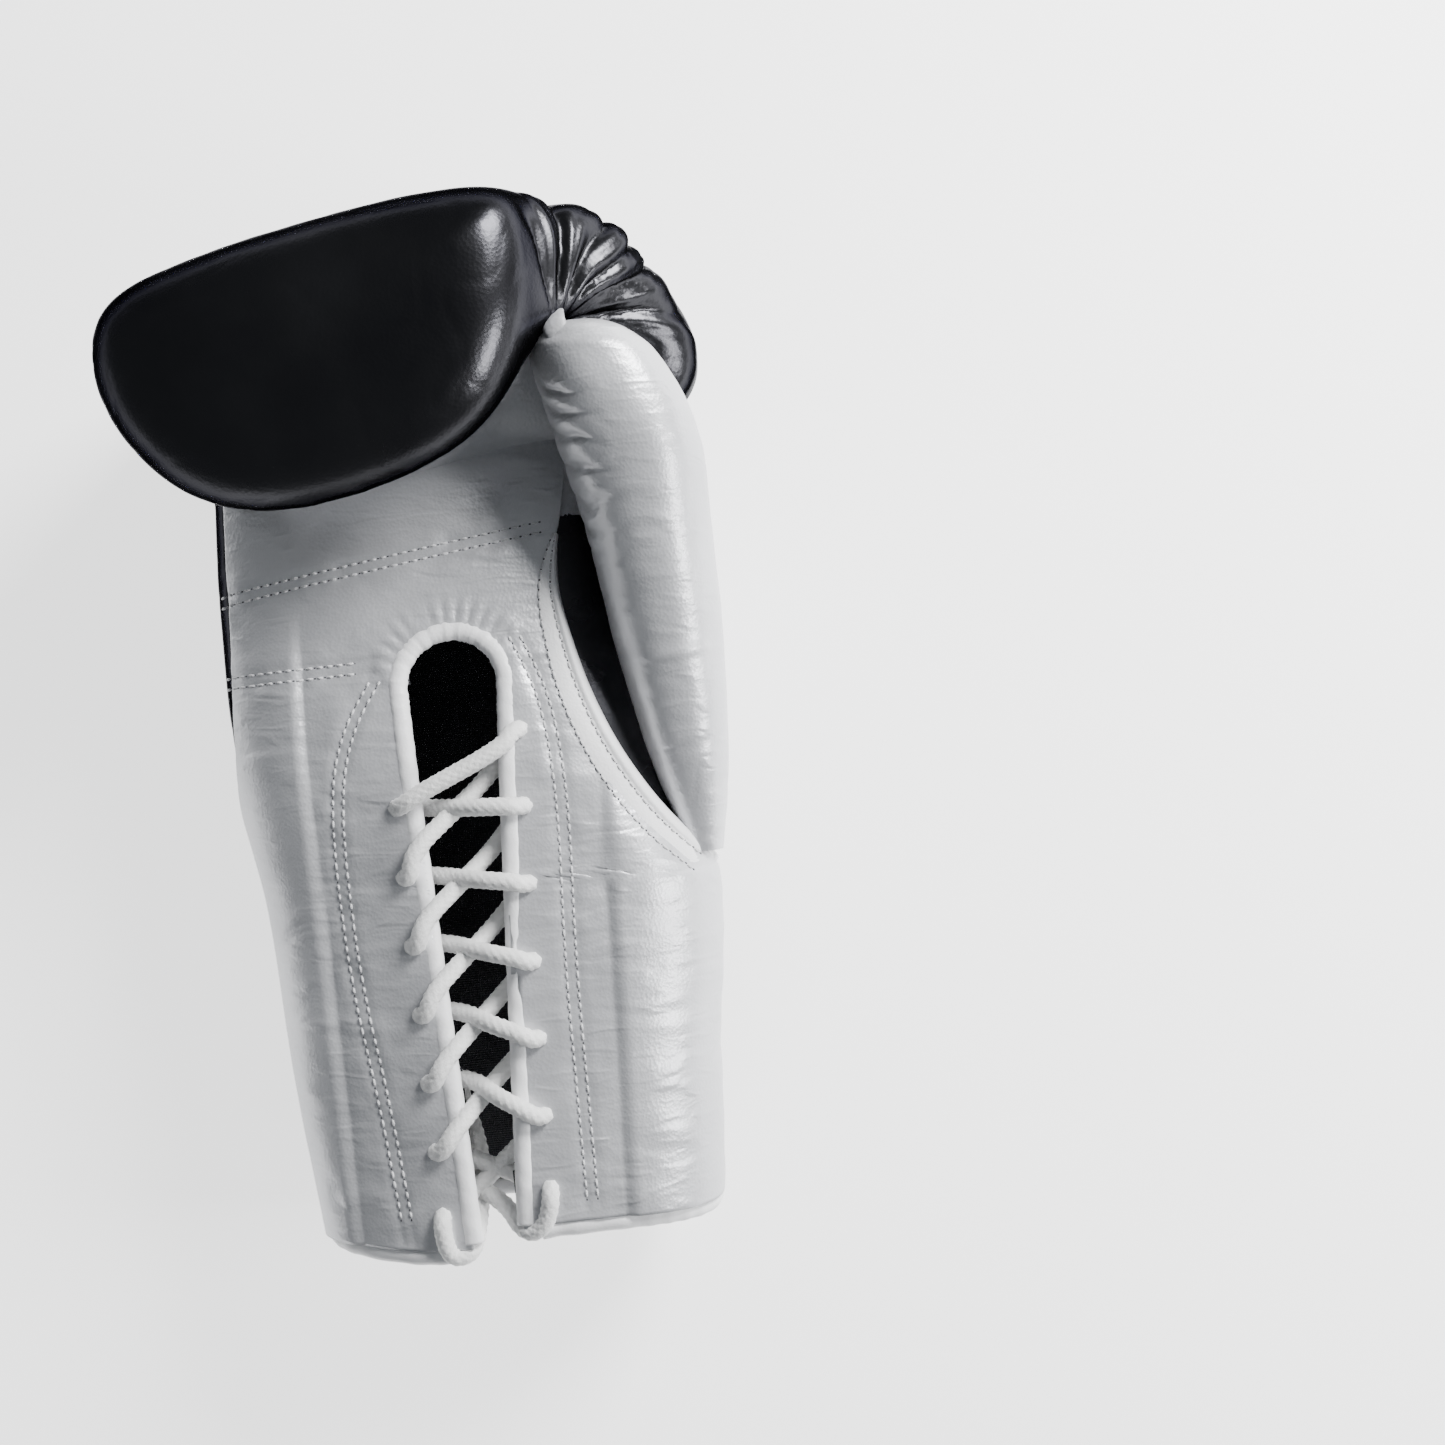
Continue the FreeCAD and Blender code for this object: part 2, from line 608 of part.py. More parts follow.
def lace_holes():
    """All lace holes as one group of upright rods."""
    rods = []
    for side in ("left", "right"):
        for count, (x, y) in enumerate(hole_places(side), start=1):
            rods.append(cylinder(f"{side}_hole{count}", Vector(0, 0, 1), x, y,
                                 "slot_floor", "eyelet", "hem_top"))
    group = doc.addObject("Part::MultiFuse", "lace_holes")
    group.Shapes = rods
    return group


holes = lace_holes()
# the lining stops under the lace-hole strips
lining_gap = box("lining_gap", ("left_first_x - eyelet - play", "right_first_x + eyelet + play"),
                 (None, "slot_round_y"), ("slot_floor", None))
parts = []


def finished(piece, node):
    """Name a finished piece and keep it for export."""
    piece.Label = node
    parts.append(piece)
    return piece


# ---------------------------------------------------------------- hand

leather_skin = cut("leather_skin", fuse("hand_form", outer, fist),
                   fuse("hand_form_inside", outer_inside, fist_inside))


def make_hand():
    hand_skin = cut("hand_skin", leather_skin, beside_thumb, *thumb_room)
    finished(cut("back_cover", common("back_cover_hand", hand_skin, hand_region), palm_block),
             "back_cover")
    finished(cut("palm_panel", common("palm_panel_hand", hand_skin, hand_region, above_seam,
                                      outer), slot, holes), "palm_panel")
    foam_skin = cut("foam_skin", under_leather, around_lining)
    hand_foam = common("hand_foam", foam_skin, hand_region, before_fist)
    finished(common("back_pad", common("back_foam", cut("back_foam_whole", foam_skin,
                                                        beside_thumb),
                                       hand_region, before_fist), below_seam), "back_pad")
    past_palm = box("past_palm", ("swell_x - swell_half - thumb_foam - thumb_gap", None),
                    (None, None), ("seam_height", None))
    finished(cut("palm_pad", common("palm_pad_whole", hand_foam, above_seam),
                 past_palm, lace_zone), "palm_pad")
    finger_room = pocket_form("finger_room", "0 - play")
    entry = common("entry", around_lining, box("entry_block", (None, None),
                                               (fist_line, f"{fist_line} + entry_depth"), (None, None)))
    finished(cut("knuckle_outer_pad", common("knuckle_shell", fist_foam, beyond_palm),
                 fist_foam_inside, entry, *thumb_room), "knuckle_outer_pad")
    finished(cut("knuckle_inner_pad", common("knuckle_core", fist_core, beyond_palm),
                 finger_room, entry, *thumb_room), "knuckle_inner_pad")
    lining = cut("lining_skin", lining_outside, lining_inside)
    finished(cut("hand_lining", common("hand_lining_whole", lining, hand_region, before_fist),
                 slot, lining_gap, beside_thumb), "hand_lining")


def make_grip():
    bar = cylinder("grip_core", Vector(1, 0, 0), "grip_left", "grip_y", "grip_z",
                   "grip_radius - leather - play", "grip_length")
    sleeve = cylinder("grip_outside", Vector(1, 0, 0), "grip_left", "grip_y", "grip_z",
                      "grip_radius", "grip_length")
    bore = cylinder("grip_bore", Vector(1, 0, 0), "grip_left", "grip_y", "grip_z",
                    "grip_radius - leather", "grip_length")
    finished(bar, "grip_bar")
    finished(cut("grip_cover", sleeve, bore), "grip_cover")


def make_gusset():
    """The black leather between palm and thumb, a thin shell round the thumb's inner side."""
    shell = cut("gusset_shell", thumb_form("gusset_outside", "0 - thumb_gap - leather - play"),
                thumb_form("gusset_inside", "0 - thumb_gap - play"))
    window = box("gusset_window", (None, "gusset_edge"), ("shank_y", "gusset_end"),
                 ("gusset_low", "gusset_high"))
    finished(cut("thumb_gusset", common("gusset_part", shell, window), mouth), "thumb_gusset")


def make_band():
    """The white crescent band, a strip of leather that lies on the palm beside the gusset."""
    body = doc.addObject("PartDesign::Body", "band_prism")
    sketch = sketch_on(body, "band_outline", lift="seam_height")
    low = (value("band_start_x"), value("band_start_y"))
    middle = (value("band_middle_x"), value("band_middle_y"))
    high = (value("band_end_x"), value("band_end_y"))
    arc = Part.Arc(Vector(*low, 0), Vector(*middle, 0), Vector(*high, 0)).toShape().Curve
    centre, radius = arc.Center, arc.Radius
    start = math.atan2(low[1] - centre.y, low[0] - centre.x) % (2 * math.pi)
    end = math.atan2(high[1] - centre.y, high[0] - centre.x) % (2 * math.pi)
    rings = []
    for reach in (radius, radius + value("band_width")):
        ring = Part.ArcOfCircle(Part.Circle(centre, Vector(0, 0, 1), reach), start, end)
        rings.append(sketch.addGeometry(ring, False))
    inner, outer_arc = (sketch.Geometry[index] for index in rings)
    sketch.addGeometry(Part.LineSegment(inner.StartPoint, outer_arc.StartPoint), False)
    sketch.addGeometry(Part.LineSegment(inner.EndPoint, outer_arc.EndPoint), False)
    for first, end_a, second, end_b in ((0, 1, 2, 1), (1, 1, 2, 2), (0, 2, 3, 1), (1, 2, 3, 2)):
        rule = Sketcher.Constraint("Coincident", first, end_a, second, end_b)
        sketch.addConstraint(rule)
    sketch.addConstraint(Sketcher.Constraint("Coincident", 0, 3, 1, 3))
    pin(sketch, 0, 1, "band_start_x", "band_start_y")
    pin(sketch, 0, 2, "band_end_x", "band_end_y")
    width = Sketcher.Constraint("Distance", 2, value("band_width"))
    bind(sketch, f"Constraints[{sketch.addConstraint(width)}]", "band_width")
    pad = body.newObject("PartDesign::Pad", "band_pad")
    pad.Profile = sketch
    bind(pad, "Length", "hem_top")
    shell = cut("band_shell", outer_form("band_outside", "0 - play - band_thick"),
                outer_form("band_inside", "0 - play"))
    finished(cut("crescent_band", common("band_part", shell, body, hand_region),
                 *thumb_room), "crescent_band")


# ---------------------------------------------------------------- finger roll

def make_fingers():
    roll = roll_form("roll", "0")
    # the cover has no floor over the knuckle half, where the fingers come up
    inside = roll_form("roll_inside", "leather")
    room = pocket_form("roll_room", "0 - play")
    above = box("above_mating", (None, None), (None, None), ("roll_base", None))
    finished(cut("finger_cover", roll, inside, room), "finger_cover")
    finished(cut("finger_pad", roll_form("roll_foam", "leather + play"), room), "finger_pad")
    pocket = cut("pocket_skin", pocket_form("pocket_outside", "0"),
                 pocket_form("pocket_inside", "lining"))
    finished(common("finger_lining", pocket, above), "finger_lining")


def slope_block(name, inset):
    """A ramp beside the roll: upright against it, falling to the index side."""
    body = doc.addObject("PartDesign::Body", name)
    sketch = sketch_on(body, f"{name}_outline", "XZ_Plane", f"{inset} - slope_front")
    foot = (f"slope_right - 2.2 * ({inset})", f"roll_base + {inset}")
    corner = (f"roll_right + play + {inset}", f"roll_base + {inset}")
    head = (f"roll_right + play + {inset}", f"roll_base + slope_height - 2.2 * ({inset})")
    spots = [Vector(value(x), value(y), 0) for x, y in (corner, foot, head)]
    for near, far in zip(spots, spots[1:] + spots[:1]):
        sketch.addGeometry(Part.LineSegment(near, far), False)
    for line in range(3):
        rule = Sketcher.Constraint("Coincident", line, 2, (line + 1) % 3, 1)
        sketch.addConstraint(rule)
    for line, (x, y) in enumerate((corner, foot, head)):
        pin(sketch, line, 1, x, y)
    pad = body.newObject("PartDesign::Pad", f"{name}_pad")
    pad.Profile = sketch
    bind(pad, "Length", f"slope_length - 2 * ({inset})")
    return skewed(body)


def make_slope():
    """The gathered leather and its foam, within the outline of the fist."""
    column = rounded_block("fist_column", ("fist_left", "fist_right", "0 - fist_depth", "0",
                                           ("fist_corner", "fist_corner", INDEX_CORNER,
                                            "fist_corner")), "0", "2 * fist_height")
    finished(common("index_side_cover", cut("slope_shell", slope_block("slope_outside", "0"),
                                            slope_block("slope_inside", "leather")), column),
             "index_side_cover")
    finished(common("index_side_pad", slope_block("slope_foam", "leather + play"), column),
             "index_side_pad")


# ---------------------------------------------------------------- thumb

def make_thumb():
    finished(cut("thumb_cover", thumb_form("thumb_outside", "0"),
                 thumb_form("thumb_under", "leather"), mouth), "thumb_cover")
    finished(cut("thumb_pad", thumb_form("thumb_foam_outside", "leather + play"),
                 thumb_form("thumb_foam_inside", "thumb_foam", spots=THUMB[1:-1]), mouth),
             "thumb_pad")
    pocket = cut("thumb_pocket",
                 thumb_form("thumb_lining_outside", "thumb_foam + play", spots=THUMB[1:-1]),
                 thumb_form("thumb_lining_inside", "thumb_foam + play + lining",
                            spots=THUMB[1:-1]))
    finished(cut("thumb_lining", pocket, mouth), "thumb_lining")
    strap = doc.addObject("Part::Box", "strap")
    bind(strap, "Length", "tether_width")
    bind(strap, "Width", "tether_length")
    bind(strap, "Height", "tether_thick")
    bind(strap, "Placement.Base.x", "tip_x - tether_width / 2")
    bind(strap, "Placement.Base.y", "tip_y + play")
    bind(strap, "Placement.Base.z", "tip_z - tether_thick / 2")
    finished(strap, "thumb_tether")


# ---------------------------------------------------------------- cuff

def make_cuff():
    cover = common("cuff_leather", cut("cuff_skin", outer, outer_inside), cuff_region)
    finished(common("cuff_back_panel", cover, below_seam), "cuff_back_panel")
    front = cut("cuff_front", common("cuff_front_whole", cover, above_seam), slot, holes)
    finished(common("cuff_left_panel", front, left_side), "cuff_left_panel")
    finished(common("cuff_right_panel", front, right_side), "cuff_right_panel")
    foam = common("cuff_foam", cut("cuff_foam_skin", under_leather, around_lining), cuff_region)
    finished(common("cuff_back_pad", foam, below_seam), "cuff_back_pad")
    sides = cut("cuff_side_foam", common("cuff_front_foam", foam, above_seam), lace_zone)
    finished(common("cuff_left_pad", sides, left_side), "cuff_left_pad")
    finished(common("cuff_right_pad", sides, right_side), "cuff_right_pad")
    lining = common("cuff_lining_whole", cut("cuff_lining_skin", lining_outside, lining_inside),
                    cuff_region)
    finished(cut("cuff_lining", lining, lining_gap), "cuff_lining")
    make_hem()
    make_strips()
    make_binding()


def make_hem():
    """The white binding that closes the cuff's layers all round the hem."""
    hem = STATION_Y["hem"]
    middle = "(hem_top + hem_low) / 2"
    room_middle = "(hem_top - front_wall + hem_low + hem_back_wall) / 2"
    rings, rooms = [], []
    for end in ("play", "play + hem_band"):
        tag = len(rings)
        rings.append(ellipse(f"hem_ring{tag}", False, "hem_x", f"{hem} - ({end})", middle,
                             "hem_half + hem_lap",
                             "(hem_top - hem_low) / 2 + hem_lap"))
        rooms.append(ellipse(f"hem_room{tag}", False, "hem_x", f"{hem} - ({end})", room_middle,
                             "hem_half - hem_side_wall - lining - hem_lap",
                             "(hem_top - front_wall - hem_low - hem_back_wall) / 2"
                             " - lining - hem_lap"))
    finished(cut("hem_binding", loft("hem_outside", rings), loft("hem_inside", rooms), slot),
             "hem_binding")


def make_strips():
    """Leather strips under both edges of the lacing, which carry the holes."""
    skin = cut("strip_skin", under_leather, under_strip)
    for side, span in (("left", ("zone_left + strip_margin",
                                 "zone_left + strip_margin + strip_width")),
                       ("right", ("zone_right - strip_margin - strip_width",
                                  "zone_right - strip_margin"))):
        block = box(f"{side}_strip_block", span, (None, "strip_end"), ("seam_height", None))
        finished(cut(f"{side}_hole_strip", common(f"{side}_strip_part", skin, block),
                     slot, holes), f"{side}_hole_strip")


def make_binding():
    """A round binding that runs up one edge of the lacing, over the arch and down the other."""
    body = doc.addObject("PartDesign::Body", "placket_binding")
    path = sketch_on(body, "binding_path", lift="binding_z")
    top, hem = "(slot_top_half + binding)", "(slot_hem_half + binding)"
    ends = ((f"slot_x - {hem}", LACING_END), (f"slot_x - {top}", "slot_round_y"),
            (f"slot_x + {top}", "slot_round_y"), (f"slot_x + {hem}", LACING_END))
    spots = [Vector(value(x), value(y), 0) for x, y in ends]
    circle = Part.Circle(Vector(value("slot_x"), value("slot_round_y"), 0),
                         Vector(0, 0, 1), value(top))
    path.addGeometry(Part.LineSegment(spots[0], spots[1]), False)
    path.addGeometry(Part.ArcOfCircle(circle, 0, math.pi), False)
    path.addGeometry(Part.LineSegment(spots[2], spots[3]), False)
    path.addConstraint(Sketcher.Constraint("Coincident", 0, 2, 1, 2))
    path.addConstraint(Sketcher.Constraint("Coincident", 1, 1, 2, 1))
    pin(path, 0, 1, *ends[0])
    pin(path, 0, 2, *ends[1])
    pin(path, 2, 1, *ends[2])
    pin(path, 2, 2, *ends[3])
    pin(path, 1, 3, y="slot_round_y")
    profile = sketch_on(body, "binding_section", "XZ_Plane", f"0 - {LACING_END}")
    ring = Part.Circle(Vector(value(ends[0][0]), value("binding_z"), 0), Vector(0, 0, 1),
                       value("binding"))
    profile.addGeometry(ring, False)
    radius = Sketcher.Constraint("Radius", 0, value("binding"))
    bind(profile, f"Constraints[{profile.addConstraint(radius)}]", "binding")
    pin(profile, 0, 3, ends[0][0], "binding_z")
    pipe = body.newObject("PartDesign::AdditivePipe", "binding_pipe")
    pipe.Profile = profile
    pipe.Spine = (path, [])
    pipe.Transition = "Transformed"
    finished(body, "placket_binding")


# ---------------------------------------------------------------- lace

def slot_half(y):
    """Half of the lacing opening at a place along the glove."""
    end = value(LACING_END)
    share = (value("slot_round_y") - y) / (value("slot_round_y") - end)
    return value("slot_top_half") + share * (value("slot_hem_half") - value("slot_top_half"))


def down_the_lacing(side, left, right):
    """Corner points of one half of the lace, from its first hole to its last crossing.

    Each strand dives through a hole, runs under the flap, comes up beside the left binding
    and goes over to its next hole, one step nearer the hem.
    """
    over, under = value("over_z"), value("under_z")
    points = []
    for step in range(HOLES - 2):
        if side == "left":
            start, target, side = left[step], right[step + 1], "right"
            y = start[1] - value("left_rise")
        else:
            start, target, side = right[step], left[step + 1], "left"
            y = target[1] + value("right_rise")
        x = value("slot_x") - slot_half(y) + value("lace + lace_play")
        points += [(*start, over), (*start, under), (x, y, under), (x, y, over)]
    return points, target


def tucked_end(start, last, crossing_z, landing, hem_front):
    """From the last crossing, out through the last hole, round the hem and back inside."""
    over, tail = value("over_z"), value("tail_z")
    return [(*start, over), (*start, crossing_z), (*last, crossing_z), (*last, over),
            (last[0], hem_front, over), (last[0], hem_front, tail), *landing]


def lace_route():
    """Corner points of the whole lace, with both ends tucked into the cuff."""
    left = [(value(x), value(y)) for x, y in hole_places("left")]
    right = [(value(x), value(y)) for x, y in hole_places("right")]
    front = value("wrist_y - cuff_length - hem_band - play - lace - lace_play")
    tail, turn = value("tail_z"), value("tuck_turn")
    first, first_end = down_the_lacing("left", left, right)
    second, second_end = down_the_lacing("right", left, right)
    left_tuck = [(left[-1][0], left[-1][1] + turn, tail),
                 (value("tuck_one_x"), value("tuck_one_y"), tail),
                 (value("tuck_two_x"), value("tuck_two_y"), tail)]
    right_tuck = [(right[-1][0], right[-1][1] + turn, tail),
                  (value("tuck_three_x"), value("tuck_three_y"), tail),
                  (value("tuck_four_x"), value("tuck_four_y"), tail)]
    first += tucked_end(first_end, left[-1], value("deep_z"), left_tuck, front)
    second += tucked_end(second_end, right[-1], value("under_z"), right_tuck, front)
    return first[::-1] + second


def rounded_path(corners, bend):
    """Straight runs joined by tangent arcs, each as large as its two runs allow."""
    points = [Vector(*corner) for corner in corners]
    edges, radii = [], []
    reach = points[0]
    for before, here, after in zip(points, points[1:], points[2:]):
        back, ahead = (before - here), (after - here)
        turn = math.pi - back.getAngle(ahead)
        if turn < 0.02:
            continue
        room = 0.48 * min(back.Length, ahead.Length)
        radius = min(bend, room / math.tan(turn / 2))
        trim = radius * math.tan(turn / 2)
        start = here + back.normalize() * trim
        end = here + ahead.normalize() * trim
        middle_way = (start + end) * 0.5 - here
        depth = radius / math.cos(turn / 2) - radius
        middle = here + middle_way.normalize() * depth
        edges.append(Part.LineSegment(reach, start).toShape())
        edges.append(Part.Arc(start, middle, end).toShape())
        radii.append(radius)
        reach = end
    edges.append(Part.LineSegment(reach, points[-1]).toShape())
    return Part.Wire(edges), radii


def tube(path, radius):
    """A round tube along a wire."""
    first = path.Edges[0]
    start = first.valueAt(first.FirstParameter)
    ring = Part.Wire(Part.makeCircle(radius, start, first.tangentAt(first.FirstParameter)))
    return path.makePipeShell([ring], True, True)


def make_lace():
    path, radii = rounded_path(lace_route(), value("lace_bend"))
    lace = doc.addObject("Part::Feature", "lace")
    lace.Shape = tube(path, value("lace"))
    section = math.pi * value("lace") ** 2
    print("lace bend radii:", *(f"{radius:.1f}" for radius in radii))
    print(f"lace: length {path.Length:.0f} mm, "
          f"volume {lace.Shape.Volume / (section * path.Length):.4f} of section x length")
    finished(lace, "lace")
    tips = []
    for count, (end, inner) in enumerate(((path.Edges[0], 0), (path.Edges[-1], 1))):
        at = end.LastParameter if inner else end.FirstParameter
        outward = end.tangentAt(at) * (1 if inner else -1)
        tip = doc.addObject("Part::Cylinder", f"lace_tip{count}")
        bind(tip, "Radius", "tip_radius")
        bind(tip, "Height", "tip_length")
        tip.Placement = Placement(end.valueAt(at) + outward * value("play"),
                                  Rotation(Vector(0, 0, 1), outward))
        tips.append(tip)
    finished(fuse("lace_tips", *tips), "lace_tips")


def make_all():
    make_hand()
    make_grip()
    make_gusset()
    make_band()
    make_fingers()
    make_slope()
    make_thumb()
    make_cuff()
    make_lace()


make_all()
doc.recompute()

for thing in doc.Objects:
    if {"Invalid", "Error"} & set(thing.State):
        raise RuntimeError(f"{thing.Name} ({thing.Label}) is {thing.State}")
for piece in parts:
    shape = piece.Shape
    if shape.isNull() or not shape.isValid() or not shape.Solids:
        raise RuntimeError(f"{piece.Label} has no valid solid")

os.makedirs("parts", exist_ok=True)
for piece in parts:
    shape = piece.Shape
    print(f"{piece.Label}: {len(shape.Solids)} solid, {shape.Volume:.0f} mm3")
    shape.exportStep(f"parts/{piece.Label}.step")
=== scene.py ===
"""Looks of the lace-up boxing glove: leather, foam-filled forms, lacing and stitching."""
import math
import bmesh
import bpy
import numpy as np
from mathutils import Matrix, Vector
from mathutils.bvhtree import BVHTree


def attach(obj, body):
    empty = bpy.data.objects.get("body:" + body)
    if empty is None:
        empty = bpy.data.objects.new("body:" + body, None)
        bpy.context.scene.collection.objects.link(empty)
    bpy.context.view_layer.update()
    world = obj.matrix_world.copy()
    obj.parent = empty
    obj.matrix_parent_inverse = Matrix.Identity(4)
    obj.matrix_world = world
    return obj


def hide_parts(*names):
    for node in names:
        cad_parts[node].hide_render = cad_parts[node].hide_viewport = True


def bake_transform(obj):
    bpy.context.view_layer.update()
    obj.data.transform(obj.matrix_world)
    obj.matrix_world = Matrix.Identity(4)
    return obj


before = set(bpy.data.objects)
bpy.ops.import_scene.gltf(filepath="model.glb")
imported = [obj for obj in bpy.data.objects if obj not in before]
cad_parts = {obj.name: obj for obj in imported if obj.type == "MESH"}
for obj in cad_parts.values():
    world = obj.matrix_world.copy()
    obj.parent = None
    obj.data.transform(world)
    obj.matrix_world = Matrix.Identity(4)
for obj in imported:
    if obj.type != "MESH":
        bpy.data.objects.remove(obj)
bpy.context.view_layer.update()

MM = 0.001                      # every form below is worked out in millimetres

# ---------------------------------------------------------------- numbers and noise


def smooth(low, high, x):
    t = np.clip((np.asarray(x, float) - low) / (high - low), 0, 1)
    return t * t * (3 - 2 * t)


def bell(x, width):
    return np.exp(-(np.asarray(x, float) / width) ** 2)


def through(knots, x):
    """A smooth curve through (place, number) knots, flat at neither end."""
    places = np.array([k[0] for k in knots], float)
    numbers = np.array([k[1] for k in knots], float)
    slopes = np.gradient(numbers, places)
    x = np.clip(np.asarray(x, float), places[0], places[-1])
    i = np.clip(np.searchsorted(places, x) - 1, 0, len(places) - 2)
    span = places[i + 1] - places[i]
    t = (x - places[i]) / span
    return ((2 * t**3 - 3 * t**2 + 1) * numbers[i] + (t**3 - 2 * t**2 + t) * span * slopes[i]
            + (3 * t**2 - 2 * t**3) * numbers[i + 1] + (t**3 - t**2) * span * slopes[i + 1])


def lattice(i, j, k, seed):
    """A repeatable number from 0 to 1 for each point of a grid."""
    mixed = (i * 73856093) ^ (j * 19349663) ^ (k * 83492791) ^ (seed * 2654435761)
    mixed = (mixed ^ (mixed >> 13)) * 1274126177
    return ((mixed ^ (mixed >> 16)) & 0xFFFF) / 65535.0


def noise(points, size, seed=1):
    """Smooth noise from -1 to 1, with lumps of the given size (mm)."""
    p = np.asarray(points, float) / size
    base = np.floor(p).astype(np.int64)
    f = p - base
    f = f * f * (3 - 2 * f)
    total = 0
    for dx in (0, 1):
        for dy in (0, 1):
            for dz in (0, 1):
                weight = (np.where(dx, f[:, 0], 1 - f[:, 0]) * np.where(dy, f[:, 1], 1 - f[:, 1])
                          * np.where(dz, f[:, 2], 1 - f[:, 2]))
                total = total + weight * lattice(base[:, 0] + dx, base[:, 1] + dy,
                                                 base[:, 2] + dz, seed)
    return total * 2 - 1


def creases(points, size, seed, sharp=6.0):
    """Thin creases where smooth noise crosses zero: 0 on flat leather, 1 in a crease."""
    warp = noise(points, size * 1.7, seed + 7)[:, None] * size * 0.5
    return np.exp(-np.abs(noise(np.asarray(points) + warp, size, seed)) * sharp)


# ---------------------------------------------------------------- meshes


def make_mesh(name, points, faces, material):
    """A smooth-shaded mesh from points in millimetres."""
    mesh = bpy.data.meshes.new(name)
    mesh.from_pydata((np.asarray(points, float) * MM).tolist(), [], [list(f) for f in faces])
    mesh.validate()
    piece = bpy.data.objects.new(name, mesh)
    bpy.context.scene.collection.objects.link(piece)
    mesh.materials.append(material)
    mesh.polygons.foreach_set("use_smooth", [True] * len(mesh.polygons))
    return piece


def grid_faces(rows, columns, closed=False):
    faces = []
    for r in range(rows - 1):
        for c in range(columns if closed else columns - 1):
            n = (c + 1) % columns
            faces.append((r * columns + c, r * columns + n,
                          (r + 1) * columns + n, (r + 1) * columns + c))
    return faces


def grid_normals(points):
    """Unit normals of a grid of points, by its neighbours."""
    along = np.gradient(points, axis=0)
    across = np.gradient(points, axis=1)
    normal = np.cross(across, along)
    return normal / np.maximum(np.linalg.norm(normal, axis=2, keepdims=True), 1e-9)


def with_modifier(piece, kind, **settings):
    """Add one modifier and make its result the mesh."""
    modifier = piece.modifiers.new(kind.title(), kind)
    for key, setting in settings.items():
        setattr(modifier, key, setting)
    bpy.context.view_layer.update()
    graph = bpy.context.evaluated_depsgraph_get()
    mesh = bpy.data.meshes.new_from_object(piece.evaluated_get(graph))
    piece.modifiers.clear()
    piece.data = mesh
    return piece


def read_points(piece):
    points = np.empty(len(piece.data.vertices) * 3)
    piece.data.vertices.foreach_get("co", points)
    return points.reshape(-1, 3) / MM


def read_normals(piece):
    normals = np.empty(len(piece.data.vertices) * 3)
    piece.data.vertices.foreach_get("normal", normals)
    return normals.reshape(-1, 3)


def write_points(piece, points):
    piece.data.vertices.foreach_set("co", (np.asarray(points) * MM).ravel())
    piece.data.update()


def keep_faces(piece, keep):
    """Keep the faces for which keep is true, and drop loose points."""
    form = bmesh.new()
    form.from_mesh(piece.data)
    form.faces.ensure_lookup_table()
    doomed = [face for face, stays in zip(form.faces, keep) if not stays]
    bmesh.ops.delete(form, geom=doomed, context="FACES")
    form.to_mesh(piece.data)
    form.free()


def face_centres(piece):
    centres = np.empty(len(piece.data.polygons) * 3)
    piece.data.polygons.foreach_get("center", centres)
    return centres.reshape(-1, 3) / MM


def frames_along(path):
    """Tangent and two steady side directions at each point of a path."""
    path = np.asarray(path, float)
    tangent = np.gradient(path, axis=0)
    tangent /= np.maximum(np.linalg.norm(tangent, axis=1, keepdims=True), 1e-9)
    side = np.zeros_like(tangent)
    first = np.cross(tangent[0], (0, 0, 1.0))
    if np.linalg.norm(first) < 0.1:
        first = np.cross(tangent[0], (1.0, 0, 0))
    side[0] = first / np.linalg.norm(first)
    for i in range(1, len(path)):
        kept = side[i - 1] - tangent[i] * np.dot(side[i - 1], tangent[i])
        side[i] = kept / max(np.linalg.norm(kept), 1e-9)
    return tangent, side, np.cross(tangent, side)


def even_path(points, step):
    """The same path with evenly spaced points."""
    points = np.asarray(points, float)
    lengths = np.concatenate(([0], np.cumsum(np.linalg.norm(np.diff(points, axis=0), axis=1))))
    count = max(int(round(lengths[-1] / step)), 2)
    places = np.linspace(0, lengths[-1], count + 1)
    return np.column_stack([np.interp(places, lengths, points[:, k]) for k in range(3)])


def curve_through(points, step=1.0, rounds=4):
    """A smooth path near its corner points, cut round at each corner."""
    path = np.asarray(points, float)
    for _ in range(rounds):
        near = path[:-1] * 0.75 + path[1:] * 0.25
        far = path[:-1] * 0.25 + path[1:] * 0.75
        path = np.vstack([path[:1], np.column_stack([near, far]).reshape(-1, 3), path[-1:]])
    return even_path(path, step)


def close_ends(points, faces, loops, sides, first, last):
    """Close both ends of a stack of loops with a fan to one point each."""
    points = np.vstack([points, first, last])
    top = (loops - 1) * sides
    for c in range(sides):
        n = (c + 1) % sides
        faces.append((len(points) - 2, n, c))
        faces.append((len(points) - 1, top + c, top + n))
    return points, faces


def tube(name, path, radius, material, sides=16, bump=None, flat=1.0):
    """A tube along a path; bump moves its surface by a function of length and angle."""
    path = np.asarray(path, float)
    _, side, up = frames_along(path)
    lengths = np.concatenate(([0], np.cumsum(np.linalg.norm(np.diff(path, axis=0), axis=1))))
    turn = np.arange(sides) / sides * 2 * math.pi
    reach = np.broadcast_to(np.asarray(radius, float), (len(path),))[:, None] + np.zeros(sides)
    if bump is not None:
        reach = reach + bump(lengths[:, None], turn[None, :])
    rings = (path[:, None, :] + side[:, None, :] * (reach * np.cos(turn))[:, :, None]
             + up[:, None, :] * (reach * np.sin(turn) * flat)[:, :, None])
    faces = grid_faces(len(path), sides, closed=True)
    points, faces = close_ends(rings.reshape(-1, 3), faces, len(path), sides, path[0],
                               path[-1])
    return make_mesh(name, points, faces, material)


# ---------------------------------------------------------------- materials


